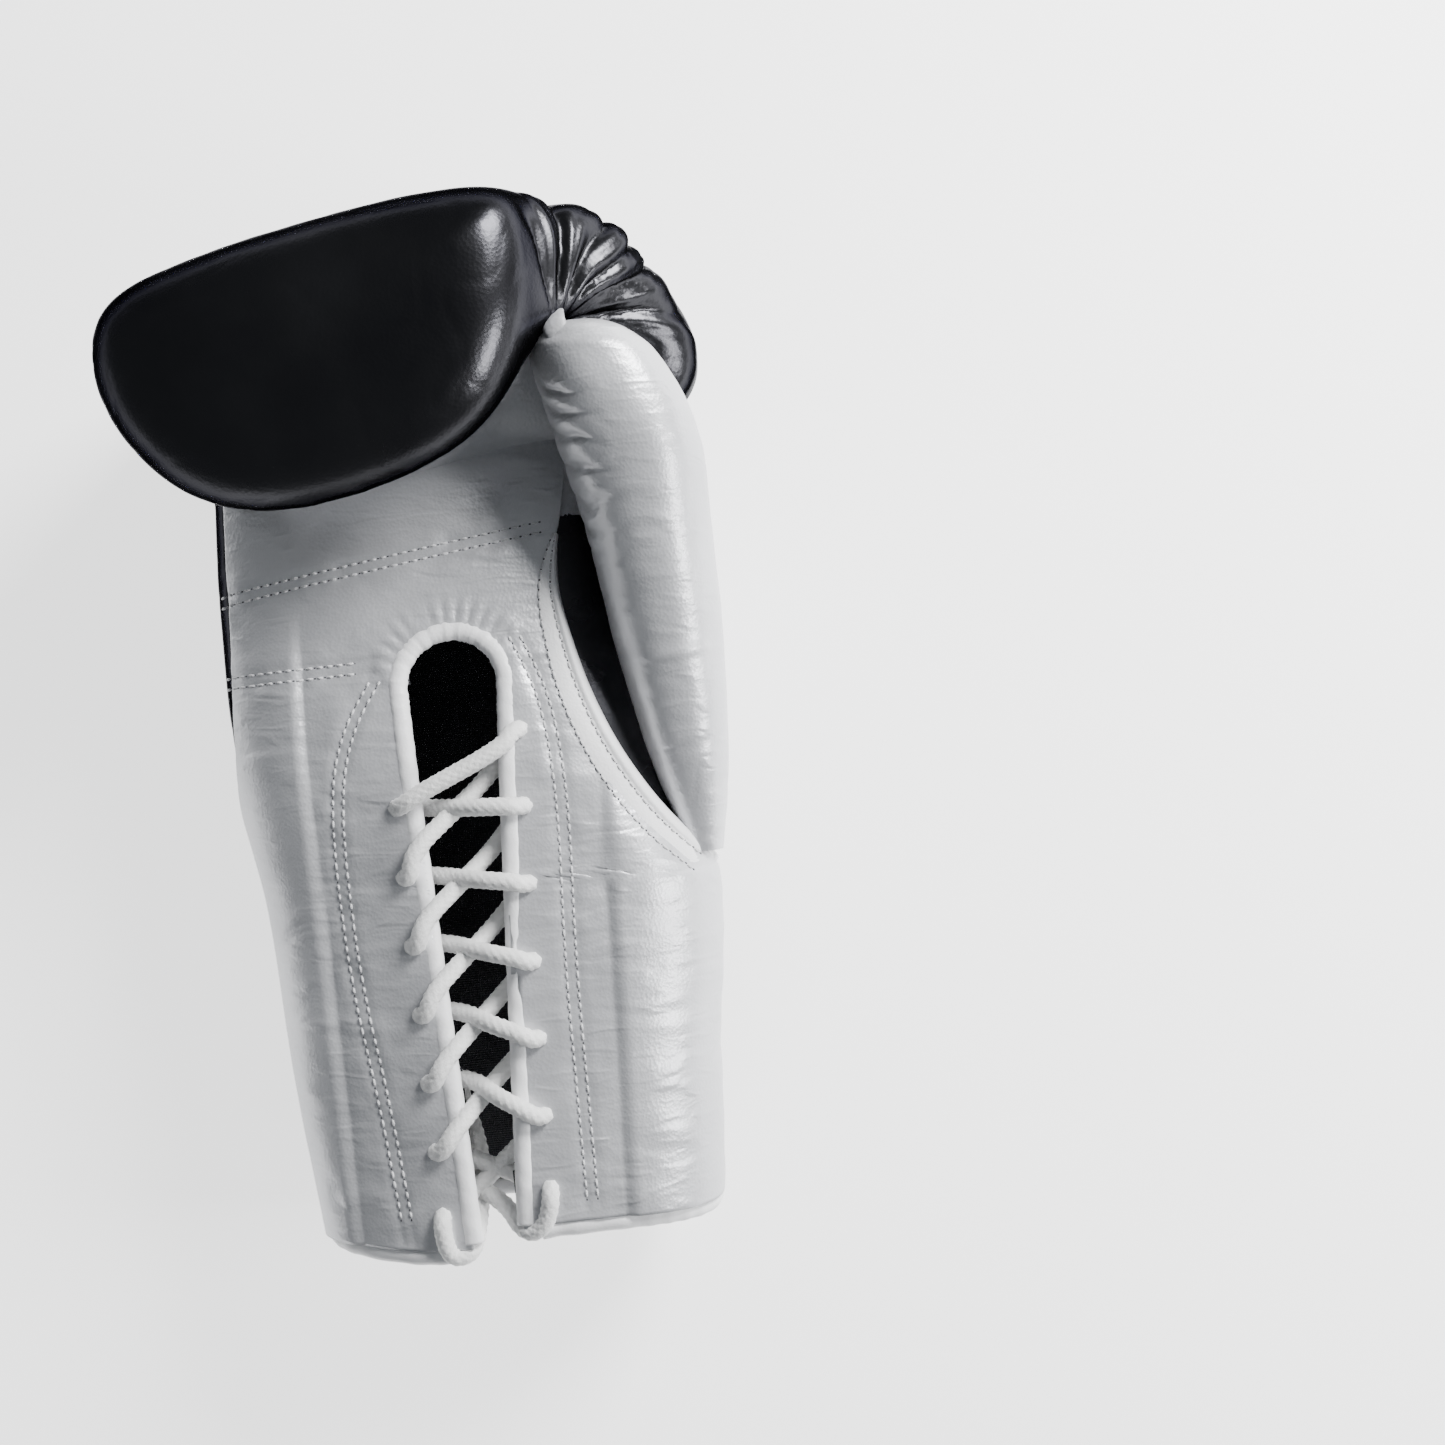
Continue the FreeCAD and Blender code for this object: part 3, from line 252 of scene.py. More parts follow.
def new_material(name, color, rough, **shader):
    material = bpy.data.materials.new(name)
    material.use_nodes = True
    surface = material.node_tree.nodes["Principled BSDF"]
    surface.inputs["Base Color"].default_value = (*color, 1)
    surface.inputs["Roughness"].default_value = rough
    for socket, number in shader.items():
        surface.inputs[socket.replace("_", " ")].default_value = number
    return material


def add_node(material, kind, **settings):
    node = material.node_tree.nodes.new(kind)
    for key, setting in settings.items():
        if key in node.inputs:
            node.inputs[key].default_value = setting
        else:
            setattr(node, key, setting)
    return node


def link(material, source, target):
    material.node_tree.links.new(source, target)


def mottled(material, low, high, scale):
    """Base colour that drifts between two tones over the surface."""
    place = add_node(material, "ShaderNodeTexCoord")
    cloud = add_node(material, "ShaderNodeTexNoise", Scale=scale, Detail=4.0)
    ramp = add_node(material, "ShaderNodeValToRGB")
    ramp.color_ramp.elements[0].position = 0.35
    ramp.color_ramp.elements[1].position = 0.68
    ramp.color_ramp.elements[0].color = (*low, 1)
    ramp.color_ramp.elements[1].color = (*high, 1)
    link(material, place.outputs["Object"], cloud.inputs["Vector"])
    link(material, cloud.outputs["Fac"], ramp.inputs["Fac"])
    link(material, ramp.outputs["Color"],
         material.node_tree.nodes["Principled BSDF"].inputs["Base Color"])


def varied_roughness(material, low, high, scale):
    place = add_node(material, "ShaderNodeTexCoord")
    cloud = add_node(material, "ShaderNodeTexNoise", Scale=scale, Detail=3.0)
    span = add_node(material, "ShaderNodeMapRange")
    span.inputs["To Min"].default_value = low
    span.inputs["To Max"].default_value = high
    link(material, place.outputs["Object"], cloud.inputs["Vector"])
    link(material, cloud.outputs["Fac"], span.inputs["Value"])
    link(material, span.outputs["Result"],
         material.node_tree.nodes["Principled BSDF"].inputs["Roughness"])


def grain(material, layers):
    """Bump from several layers of (texture, scale, height in metres)."""
    place = add_node(material, "ShaderNodeTexCoord")
    last = None
    for kind, scale, height in layers:
        if kind == "cells":
            texture = add_node(material, "ShaderNodeTexVoronoi", Scale=scale)
            texture.feature = "F1"
            output = texture.outputs["Distance"]
        elif kind == "creases":
            texture = add_node(material, "ShaderNodeTexNoise", Scale=scale, Detail=5.0,
                               Distortion=0.7)
            texture.noise_type = "RIDGED_MULTIFRACTAL"
            output = texture.outputs["Fac"]
            stretch = add_node(material, "ShaderNodeMapping", Scale=(0.32, 1.15, 0.45),
                               Rotation=(0, 0, 0.22))
            link(material, place.outputs["Object"], stretch.inputs["Vector"])
        else:
            texture = add_node(material, "ShaderNodeTexNoise", Scale=scale, Detail=5.0)
            output = texture.outputs["Fac"]
        bump = add_node(material, "ShaderNodeBump")
        bump.inputs["Distance"].default_value = height
        bump.inputs["Strength"].default_value = 1.0
        source = stretch if kind == "creases" else place
        link(material, source.outputs["Vector" if kind == "creases" else "Object"],
             texture.inputs["Vector"])
        link(material, output, bump.inputs["Height"])
        if last is not None:
            link(material, last.outputs["Normal"], bump.inputs["Normal"])
        last = bump
    link(material, last.outputs["Normal"],
         material.node_tree.nodes["Principled BSDF"].inputs["Normal"])


def white_leather():
    material = new_material("pearl_white_leather", (0.56, 0.565, 0.585), 0.34,
                            Coat_Weight=0.15, Coat_Roughness=0.35, Metallic=0.45)
    mottled(material, (0.54, 0.545, 0.565), (0.63, 0.635, 0.655), 22.0)
    varied_roughness(material, 0.34, 0.44, 60.0)
    grain(material, [("cells", 1000.0, 0.00006), ("noise", 260.0, 0.00006),
                     ("creases", 90.0, 0.00085), ("creases", 230.0, 0.00035)])
    return material


def white_binding_leather():
    material = new_material("white_binding_leather", (0.86, 0.86, 0.87), 0.42,
                            Coat_Weight=0.15, Coat_Roughness=0.35)
    mottled(material, (0.82, 0.82, 0.83), (0.90, 0.90, 0.91), 60.0)
    grain(material, [("cells", 1100.0, 0.00005), ("noise", 300.0, 0.00012)])
    return material


def black_leather():
    material = new_material("black_leather", (0.04, 0.04, 0.044), 0.28, Metallic=1.0,
                            Specular_Tint=(0.12, 0.12, 0.13, 1))
    mottled(material, (0.034, 0.034, 0.038), (0.050, 0.050, 0.054), 24.0)
    varied_roughness(material, 0.22, 0.34, 45.0)
    grain(material, [("cells", 900.0, 0.00003), ("noise", 160.0, 0.00005)])
    return material


def cotton(name, color, scale):
    material = new_material(name, color, 0.85, Sheen_Weight=0.35)
    dark = tuple(c * 0.88 for c in color)
    mottled(material, dark, color, 180.0)
    grain(material, [("noise", scale, 0.00015), ("cells", scale * 2.2, 0.00008)])
    return material


def lining_cloth():
    material = new_material("black_lining_cloth", (0.024, 0.025, 0.03), 0.75,
                            Sheen_Weight=0.25)
    mottled(material, (0.018, 0.018, 0.022), (0.036, 0.038, 0.046), 60.0)
    place = add_node(material, "ShaderNodeTexCoord")
    threads = []
    for direction in ("X", "Y"):
        wave = add_node(material, "ShaderNodeTexWave", Scale=420.0, Distortion=0.4)
        wave.bands_direction = direction
        link(material, place.outputs["Object"], wave.inputs["Vector"])
        threads.append(wave)
    both = add_node(material, "ShaderNodeMath", operation="ADD")
    link(material, threads[0].outputs["Fac"], both.inputs[0])
    link(material, threads[1].outputs["Fac"], both.inputs[1])
    bump = add_node(material, "ShaderNodeBump")
    bump.inputs["Distance"].default_value = 0.0002
    link(material, both.outputs["Value"], bump.inputs["Height"])
    link(material, bump.outputs["Normal"],
         material.node_tree.nodes["Principled BSDF"].inputs["Normal"])
    return material


WHITE = white_leather()
BINDING = white_binding_leather()
BLACK = black_leather()
CLOTH = lining_cloth()
LACE = cotton("lace_cotton", (0.88, 0.88, 0.87), 700.0)
THREAD = cotton("stitch_thread", (0.66, 0.66, 0.67), 1500.0)
# painted shade: near-black bodies put where the needle holes would lie in shadow
HOLE_PAINTED_SHADE = cotton("needle_hole_shade", (0.07, 0.07, 0.08), 1500.0)

# ---------------------------------------------------------------- form of cuff and hand

HEM, PALM_END = -146.0, 96.0    # the hand form from end to end, along the glove
SPLIT = 34.0                    # the black leather parts here into back and fist
CENTRE = ((-146, 8), (-96, 7), (-46, 7), (0, -1), (50, -5.5), (95, -3))
HALF = ((-146, 59.5), (-96, 64), (-46, 67.5), (0, 68), (50, 66.5), (95, 68))
LOW = ((-146, 1.6), (-96, 3), (-46, 4), (0, 3), (50, 1.2), (95, 1.2))
TOP = ((-146, 71.5), (-96, 72.5), (-46, 72.5), (0, 71.5), (50, 63), (95, 53))
PALM_SQUARENESS, BACK_SQUARENESS = 2.75, 2.3    # 2 would be an oval
SLOT_X = 3.0
SLOT_ROUND_Y, SLOT_TOP_HALF, SLOT_HEM_HALF = 17.0, 13.3, 5.2
BINDING_R = 3.0
PALM_LIFT = 1.2                 # white leather over the black body beneath it


def slot_half(y):
    """Half of the lacing opening at a place along the glove, to the binding's inner edge."""
    y = np.asarray(y, float)
    straight = SLOT_TOP_HALF + (SLOT_ROUND_Y - y) / (SLOT_ROUND_Y - HEM) * (
        SLOT_HEM_HALF - SLOT_TOP_HALF)
    arch = np.sqrt(np.clip(SLOT_TOP_HALF**2 - (y - SLOT_ROUND_Y) ** 2, 0, None))
    return np.where(y > SLOT_ROUND_Y, arch, straight)


def droop(points):
    """The little finger side flap hangs a little lower at the hem than the other."""
    moved = np.array(points, float)
    near_hem = 1 - smooth(HEM, HEM + 45, moved[:, 1])
    left = smooth(-55, -14, moved[:, 0]) * (1 - smooth(-2, 6, moved[:, 0]))
    right = smooth(8, 20, moved[:, 0]) * (1 - smooth(35, 70, moved[:, 0]))
    top = smooth(36, 60, moved[:, 2])
    moved[:, 1] += near_hem * top * (1.5 * right - 4.0 * left)
    return moved


def tube_section(y, turn, grow=0.0):
    """A point of the outside at a place along the glove and an angle round it."""
    cx, half = through(CENTRE, y), through(HALF, y) + grow
    low, top = through(LOW, y) - grow, through(TOP, y) + grow
    cz, rise = (low + top) / 2, (top - low) / 2
    c, s = np.cos(turn), np.sin(turn)
    power = np.where(s > 0, 2.0 / PALM_SQUARENESS, 2.0 / BACK_SQUARENESS)
    x = cx + half * np.sign(c) * np.abs(c) ** power
    z = cz + rise * np.sign(s) * np.abs(s) ** power
    return x, z


def palm_height(x, y, grow=0.0):
    """Height of the palm side of the outside above a point."""
    cx, half = through(CENTRE, y), through(HALF, y) + grow
    low, top = through(LOW, y) - grow, through(TOP, y) + grow
    share = np.clip(np.abs((x - cx) / half), 0, 0.999)
    bulge = (1 - share**PALM_SQUARENESS) ** (1 / PALM_SQUARENESS)
    return (low + top) / 2 + (top - low) / 2 * bulge


def turn_at(x, y, grow=0.0):
    """Angle round the section at which the palm side passes over a place across it."""
    share = np.clip((x - through(CENTRE, y)) / (through(HALF, y) + grow), -1, 1)
    return np.arccos(np.sign(share) * np.abs(share) ** (PALM_SQUARENESS / 2.0))


def seam_turn(y, side):
    """Angle of the seam between palm and back leather, little finger or thumb side."""
    if side == "left":
        lift = through(((-146, 0.02), (-60, 0.05), (-22, 0.20), (-2, 0.46), (20, 0.57),
                        (50, 0.61), (95, 0.56)), y)
        return math.pi - lift
    return through(((-146, -0.12), (-60, -0.08), (0, 0.05), (95, 0.1)), y)


# ---------------------------------------------------------------- stitch lines on the palm side


def line(*points):
    return [(float(x), float(y)) for x, y in points]


EDGE = ((-46, 78), (-40, 73.5), (-28, 63), (-12, 52.5), (8, 43.5), (28, 38), (45, 35.5),
        (56, 36.5), (66, 39), (78, 41), (100, 41))
CRESCENT = [(float(through(EDGE, y)), float(y)) for y in np.linspace(60, -44, 40)]


def placket_row(offset):
    """A stitch row beside the lacing, its upper end curving in over the arch."""
    left = line((-18 - offset, 20), (-26 - offset, 8), (-31.5 - offset, -8),
                (-33 - offset, -34), (-31.5 - offset, -68), (-26.5 - offset, -102),
                (-22.5 - offset, -144))
    right = line((21 + offset, 30), (27 + offset, 16), (30 + offset, 2), (31.5 + offset, -21),
                 (29.5 + offset, -67), (29.5 + offset, -107), (29.5 + offset, -142))
    return left, right


def stitch_rows():
    rows = []
    for offset in (0.0, 3.2):
        left, right = placket_row(offset)
        rows += [left, right]
        rows.append(line((-68, 47 + offset), (-40, 50.5 + offset), (0, 56 + offset),
                         (38, 61.5 + offset)))
        rows.append(line((-68, 22 + offset), (-46, 22.3 + offset), (-20, 22.8 + offset)))
    return rows


ROWS = stitch_rows()


def smooth_row(row, step=1.0):
    flat = [(x, y, 0) for x, y in row]
    return curve_through(flat, step, rounds=3)[:, :2]


def even_row(plan, step=0.5):
    return even_path(np.column_stack([plan, np.zeros(len(plan))]), step)[:, :2]


def near_row(x, y, row):
    """Distance in plan from each point to a stitch row."""
    path = smooth_row(row, 4.0)
    best = np.full(np.shape(x), 1e9)
    for a, b in zip(path[:-1], path[1:]):
        d = b - a
        t = np.clip(((x - a[0]) * d[0] + (y - a[1]) * d[1]) / max(d @ d, 1e-9), 0, 1)
        best = np.minimum(best, np.hypot(x - a[0] - t * d[0], y - a[1] - t * d[1]))
    return best


def white_relief(points):
    """How far the white leather stands out or dips at each point, in millimetres."""
    x, y, z = points[:, 0], points[:, 1], points[:, 2]
    upper = smooth(40, 55, z)
    relief = 0.45 * noise(points, 34, 3) + 0.22 * noise(points, 14, 5)
    for row in ROWS:
        away = near_row(x, y, row)
        pucker = noise(points * (1, 1, 0.4), 5.5, 21) * bell(away, 7.0) * 0.22
        relief = relief + upper * (pucker - 0.42 * bell(away, 1.5))
    left_pad = through(((-146, -38), (0, -41.5)), y) - x
    right_pad = x - through(((-146, 41), (0, 45)), y)
    below_arch = 1 - smooth(20, 46, y)
    for beyond in (left_pad, right_pad):
        puffed = smooth(-0.5, 3.5, beyond) * (1 - smooth(6, 32, beyond))
        relief = relief + upper * below_arch * 1.7 * puffed
    lines = points * (0.35, 1.0, 0.35)
    relief = relief - 0.14 * creases(lines, 12, 31) * smooth(-70, -20, y)
    right = smooth(40, 56, x) * (1 - smooth(-50, -25, y))
    waves = np.sin(y * 0.42 + 2.2 * noise(points * (0.4, 1, 0.4), 24, 51) + x * 0.06)
    relief = relief + 0.22 * waves * right * (0.6 + 0.4 * noise(points, 30, 52))
    arch = np.hypot(x - SLOT_X, y - SLOT_ROUND_Y)
    spokes = np.sin(np.arctan2(y - SLOT_ROUND_Y, x - SLOT_X) * 34)
    relief = relief + 0.20 * spokes * bell(arch - SLOT_TOP_HALF - 8, 4) * smooth(14, 24, y)
    beside_band = bell(x - through(EDGE, y) + 3, 9) * (y > -46)
    return relief * (1 - beside_band) - 0.5 * beside_band


def make_palm_leather():
    """The white leather of palm and cuff, open at the lacing and round the thumb's inside."""
    rows, columns = 236, 196
    y = np.linspace(HEM, PALM_END, rows)[:, None] + np.zeros(columns)
    start, end = seam_turn(y[:, 0], "right"), seam_turn(y[:, 0], "left")
    beside_thumb = turn_at(through(EDGE, y[:, 0]), y[:, 0], 1.6)
    start = np.where(y[:, 0] > -45, np.maximum(beside_thumb, start), start)
    share = np.linspace(0, 1, columns)
    turn = start[:, None] + (end - start)[:, None] * share[None, :]
    x, z = tube_section(y, turn, PALM_LIFT)
    points = np.dstack([x, y, z])
    normals = -grid_normals(points)
    flat = points.reshape(-1, 3)
    moved = flat + normals.reshape(-1, 3) * white_relief(flat)[:, None]
    piece = make_mesh("palm_leather", droop(moved), grid_faces(rows, columns), WHITE)
    centres = face_centres(piece)
    opening = np.abs(centres[:, 0] - SLOT_X) < slot_half(centres[:, 1]) + BINDING_R * 0.8
    opening &= (centres[:, 1] < SLOT_ROUND_Y + SLOT_TOP_HALF + 2.4) & (centres[:, 2] > 50)
    arch = np.hypot(centres[:, 0] - SLOT_X, centres[:, 1] - SLOT_ROUND_Y)
    opening |= (arch < SLOT_TOP_HALF + 2.4) & (centres[:, 1] > SLOT_ROUND_Y - 5)
    keep_faces(piece, ~opening)
    return with_modifier(piece, "SOLIDIFY", thickness=1.3 * MM, offset=-1)


# ---------------------------------------------------------------- fist

SKEW = math.radians(10)
KNUCKLE = np.array((-22.0, 147.5))
FIST_LOW = ((-54, -54), (-32, -64), (4, -66), (46, -68), (84, -68), (98, -50), (86, -16),
            (56, -1), (8, 1), (-28, 0), (-54, -5), (-64, -20), (-63, -40))
FIST_MIDDLE = ((-54, -54), (-32, -64), (4, -65), (32, -56), (50, -40), (84, -33), (84, -14),
               (56, -1), (8, 2), (-28, 1), (-56, -4), (-67, -19), (-66, -38))
FIST_HIGH = ((-52, -62), (-31, -74), (4, -75), (33, -67), (50, -46), (58, -24), (58, -6),
             (40, 0), (6, 1), (-28, 0), (-56, -4), (-66, -18), (-65, -39))
ROLL_TOP = 119.0


def from_fist(uv):
    """Plan place of a point given along and behind the knuckle line."""
    u, v = uv[..., 0], uv[..., 1]
    return np.stack([KNUCKLE[0] + u * math.cos(SKEW) - v * math.sin(SKEW),
                     KNUCKLE[1] + u * math.sin(SKEW) + v * math.cos(SKEW)], axis=-1)


def to_fist(x, y):
    dx, dy = x - KNUCKLE[0], y - KNUCKLE[1]
    return (dx * math.cos(SKEW) + dy * math.sin(SKEW),
            -dx * math.sin(SKEW) + dy * math.cos(SKEW))


def closed_curve(corners, count):
    """A smooth closed outline near its corner points."""
    path = np.asarray(corners, float)
    for _ in range(4):
        after = np.roll(path, -1, axis=0)
        path = np.stack([path * 0.75 + after * 0.25, path * 0.25 + after * 0.75],
                        axis=1).reshape(-1, 2)
    loop = np.vstack([path, path[:1]])
    lengths = np.concatenate(([0], np.cumsum(np.linalg.norm(np.diff(loop, axis=0), axis=1))))
    places = np.linspace(0, lengths[-1], count, endpoint=False)
    return np.column_stack([np.interp(places, lengths, loop[:, k]) for k in range(2)])


def swollen(corners, factor=1.06):
    """Corner points pushed out, because a curve near them runs inside them."""
    corners = np.asarray(corners, float)
    middle = corners.mean(axis=0)
    return middle + (corners - middle) * factor


def fist_solid():
    """The whole fist as stacked outlines: flat underneath, a crowned roll on top."""
    count = 160
    low, middle, high = (closed_curve(swollen(c), count)
                         for c in (FIST_LOW, FIST_MIDDLE, FIST_HIGH))
    under, over = 34.0, 22.0    # how far the rounding reaches below and above
    bottom = [(under * (1 - math.cos(a)), under * (1 - math.sin(a)))
              for a in np.linspace(0, math.pi / 2, 12)]
    side = [(z, 0.0) for z in np.linspace(under, ROLL_TOP - over, 18)[1:-1]]
    crown = [(ROLL_TOP - over + over * math.sin(a) * 0.93, over * (1 - math.cos(a)))
             for a in np.linspace(0, math.pi / 2 * 0.92, 12)]
    rings = []
    for z, inset in bottom + side + crown:
        if z < 75:
            mix = float(smooth(48, 75, z))
            outline = low * (1 - mix) + middle * mix
        else:
            mix = float(smooth(75, 104, z))
            outline = middle * (1 - mix) + high * mix
        ahead = np.roll(outline, -1, axis=0) - np.roll(outline, 1, axis=0)
        inward = np.column_stack([-ahead[:, 1], ahead[:, 0]])
        inward /= np.linalg.norm(inward, axis=1, keepdims=True)
        plan = from_fist(outline + inward * inset)
        rings.append(np.column_stack([plan, np.full(count, z)]))
    base, top = rings[0], rings[-1]
    crown_rise = ROLL_TOP + 0.8 - top[0, 2]
    caps = []
    for ring, rise in ((base, 0.0), (top, crown_rise)):
        centre = ring.mean(axis=0)
        cap = []
        for share in (0.85, 0.7, 0.55, 0.4, 0.25, 0.1):
            flat = centre + (ring - centre) * share
            flat[:, 2] += rise * (1 - share**2)
            cap.append(flat)
        caps.append(cap)
    stack = caps[0][::-1] + rings + caps[1]
    faces = grid_faces(len(stack), count, closed=True)
    return close_ends(np.vstack(stack), faces, len(stack), count, base.mean(axis=0),
                      top.mean(axis=0) + (0, 0, crown_rise))


def hand_solid():
    """Cuff and hand as one closed tube, a little inside the white leather."""
    rows, columns = 90, 128
    y = np.linspace(HEM + 2, PALM_END, rows)
    turn = np.arange(columns) / columns * 2 * math.pi
    edge = through(((-146, 0.0), (-60, 0.0), (-10, 0.33), (50, 0.39), (95, 0.30)), y)[:, None]
    under_white = 2.4 * smooth(0, 0.2, np.sin(turn)[None, :] - edge)
    x, z = tube_section(y[:, None], turn[None, :], -under_white)
    points = np.dstack([x, y[:, None] + np.zeros(columns), z]).reshape(-1, 3)
    faces = grid_faces(rows, columns, closed=True)
    return close_ends(points, faces, rows, columns, (8, HEM + 2, 36), (-3, PALM_END, 27))


def make_black_body():
    """Back, knuckles and finger roll in black: two swollen forms grown together."""
    fist_points, fist_faces = fist_solid()
    hand_points, hand_faces = hand_solid()
    shifted = [[i + len(fist_points) for i in face] for face in hand_faces]
    piece = make_mesh("black_leather_form", np.vstack([fist_points, hand_points]),
                      [list(f) for f in fist_faces] + shifted, BLACK)
    piece = with_modifier(piece, "REMESH", mode="VOXEL", voxel_size=2.4 * MM, adaptivity=0)
    piece = with_modifier(piece, "SMOOTH", factor=0.5, iterations=8)
    return piece


def gathers(points):
    """Folds of the index side, drawn together where the thumb strap is sewn on."""
    x, y, z = points[:, 0], points[:, 1], points[:, 2]
    knot = np.array((44.0, 116.0, 86.0))
    away = points - knot
    distance = np.linalg.norm(away, axis=1)
    angle = np.arctan2(away[:, 1] + away[:, 2] * 0.35, away[:, 0] - away[:, 2] * 0.2)
    wobble = noise(points, 20, 61) * 0.14 + noise(points, 8, 62) * 0.03
    wave = (angle + wobble) * 8.5
    folds = 1 - np.abs(np.sin(wave)) ** 0.75
    fine = 1 - np.abs(np.sin((angle + wobble * 1.4) * 21.0 + 1.0))
    where = smooth(-0.75, -0.35, angle) * (1 - smooth(1.55, 1.95, angle))
    u, v = to_fist(x, y)
    slope = smooth(56, 64, u) * smooth(28, 52, z) * smooth(-56, -44, v)
    fade = smooth(3, 16, distance) * (1 - smooth(40, 72, distance))
    return -(2.6 * folds + 0.5 * fine) * where * slope * fade


def detail_black(piece):
    piece = with_modifier(piece, "SUBSURF", levels=1, render_levels=1)
    points, normals = read_points(piece), read_normals(piece)
    relief = 0.35 * noise(points, 38, 11) + 0.10 * noise(points, 13, 12) + gathers(points)
    relief = relief - 0.14 * creases(points, 15, 13, 9.0) * smooth(0, 40, points[:, 2])
    points = points + normals * relief[:, None]
    write_points(piece, points)
    return piece


def clean_cut(piece, y):
    """Cut every face at a plane across the glove, so that the pieces part on one line."""
    form = bmesh.new()
    form.from_mesh(piece.data)
    everything = form.verts[:] + form.edges[:] + form.faces[:]
    bmesh.ops.bisect_plane(form, geom=everything, plane_co=(0, y * MM, 0),
                           plane_no=(0, 1, 0))
    form.to_mesh(piece.data)
    form.free()
    piece.data.update()


def keep_with_normals(piece, keep):
    """Keep some faces, with the normals that the whole form had."""
    places = {tuple(np.round(p, 4)): n for p, n in zip(read_points(piece), read_normals(piece))}
    keep_faces(piece, keep)
    normals = [places[tuple(np.round(p, 4))] for p in read_points(piece)]
    piece.data.normals_split_custom_set_from_vertices(normals)


def split_black(piece):
    """Back of the cuff and hand, and the fist: two pieces that meet on one line."""
    clean_cut(piece, SPLIT)
    clean_cut(piece, HEM + 3)
    centres = face_centres(piece)
    opening = np.abs(centres[:, 0] - SLOT_X) < slot_half(centres[:, 1]) + 9
    opening &= (centres[:, 1] < SLOT_ROUND_Y + SLOT_TOP_HALF + 5) & (centres[:, 2] > 50)
    arch = np.hypot(centres[:, 0] - SLOT_X, centres[:, 1] - SLOT_ROUND_Y)
    opening |= (arch < SLOT_TOP_HALF + 5) & (centres[:, 1] > SLOT_ROUND_Y) & (centres[:, 2] > 45)
    keep = ~opening & (centres[:, 1] > HEM + 3)
    fist = piece.copy()
    fist.data = piece.data.copy()
    fist.name = "fist_leather"
    bpy.context.scene.collection.objects.link(fist)
    piece.name = "back_leather"
    keep_with_normals(piece, keep & (centres[:, 1] <= SPLIT))
    keep_with_normals(fist, keep & (centres[:, 1] > SPLIT))
    return piece, fist


# ---------------------------------------------------------------- thumb

THUMB_X = ((-40, 73), (-10, 71), (25, 68.5), (60, 65.5), (88, 61), (105, 55.5), (116, 51))
THUMB_Z = ((-40, 47), (-10, 51), (25, 56), (60, 66), (88, 75), (105, 80), (116, 83))
THUMB_HALF = ((-40, 6), (-10, 12.5), (25, 16.5), (60, 19), (88, 21), (105, 19), (116, 16))
THUMB_RISE = ((-40, 9), (-10, 18), (25, 24), (60, 25), (88, 23.5), (105, 20), (116, 16))


def thumb_relief(points, turn, y):
    """Creases on the thumb's inner side and a soft lumpiness elsewhere."""
    inner = smooth(0.1, 0.9, -np.cos(turn))
    top = smooth(-0.3, 0.4, np.sin(turn))
    wobble = noise(points, 20, 71) * 6 + noise(points, 8, 72) * 1.0
    folds = 1 - np.abs(np.sin((y + wobble + 8 * np.sin(turn)) / 6.2 * math.pi / 1.3))
    zone = smooth(44, 66, y) * (1 - smooth(92, 106, y))
    relief = -1.9 * folds ** 2 * inner * top * zone
    relief = relief + 0.35 * noise(points, 26, 73) + 0.15 * noise(points, 9, 74)
    relief = relief - 0.16 * creases(points * (0.7, 1, 0.7), 9, 75)
    return relief


def make_thumb():
    rows, columns, cap_rows = 190, 120, 24
    cap_start, cap_length = 108, 10.5
    body = np.linspace(-40, cap_start, rows - cap_rows)
    around_cap = np.linspace(0, math.pi / 2, cap_rows + 1)[1:]
    shrink = np.concatenate([np.ones(len(body)), [math.cos(a) for a in around_cap]])
    y = np.concatenate([body, [cap_start + cap_length * math.sin(a) for a in around_cap]])
    turn = np.arange(columns) / columns * 2 * math.pi
    at = np.minimum(y, 112)
    half = (through(THUMB_HALF, at) * np.maximum(shrink, 0.02))[:, None]
    rise = (through(THUMB_RISE, at) * np.maximum(shrink, 0.02))[:, None]
    c, s = np.cos(turn)[None, :], np.sin(turn)[None, :]
    power = 2 / 2.25
    x = through(THUMB_X, y)[:, None] + half * np.sign(c) * np.abs(c) ** power
    z = through(THUMB_Z, y)[:, None] + rise * np.sign(s) * np.abs(s) ** power
    points = np.dstack([x, y[:, None] + 0 * x, z])
    normals = -grid_normals(points)
    flat = points.reshape(-1, 3)
    turns = np.broadcast_to(turn[None, :], x.shape).ravel()
    relief = thumb_relief(flat, turns, flat[:, 1])
    relief *= np.repeat(np.clip(shrink * 1.4, 0, 1), columns)
    moved = flat + normals.reshape(-1, 3) * relief[:, None]
    return make_mesh("thumb_leather", moved, grid_faces(rows, columns, closed=True), WHITE)


def make_tether():
    """The short strap that ties the thumb's tip to the index side."""
    path = curve_through([(50, 106, 94), (46.5, 111, 96), (44.5, 115.5, 94), (44, 120, 89)], 0.6)
    return tube("thumb_tether_leather", path, 3.6, WHITE, 20, flat=0.45)


def whiten_behind_roll(fist):
    """The palm leather that runs on up between the finger roll and the thumb."""
    fist.data.materials.append(WHITE)
    centres = face_centres(fist)
    x, y, z = centres[:, 0], centres[:, 1], centres[:, 2]
    u, v = to_fist(x, y)
    behind = (u > -40) & (u < 74) & (v < -35) & (y > 66) & (y < 118) & (z > 40) & (z < 80)
    fist.data.polygons.foreach_set("material_index", behind.astype(np.int32))


# ---------------------------------------------------------------- lacing and edges


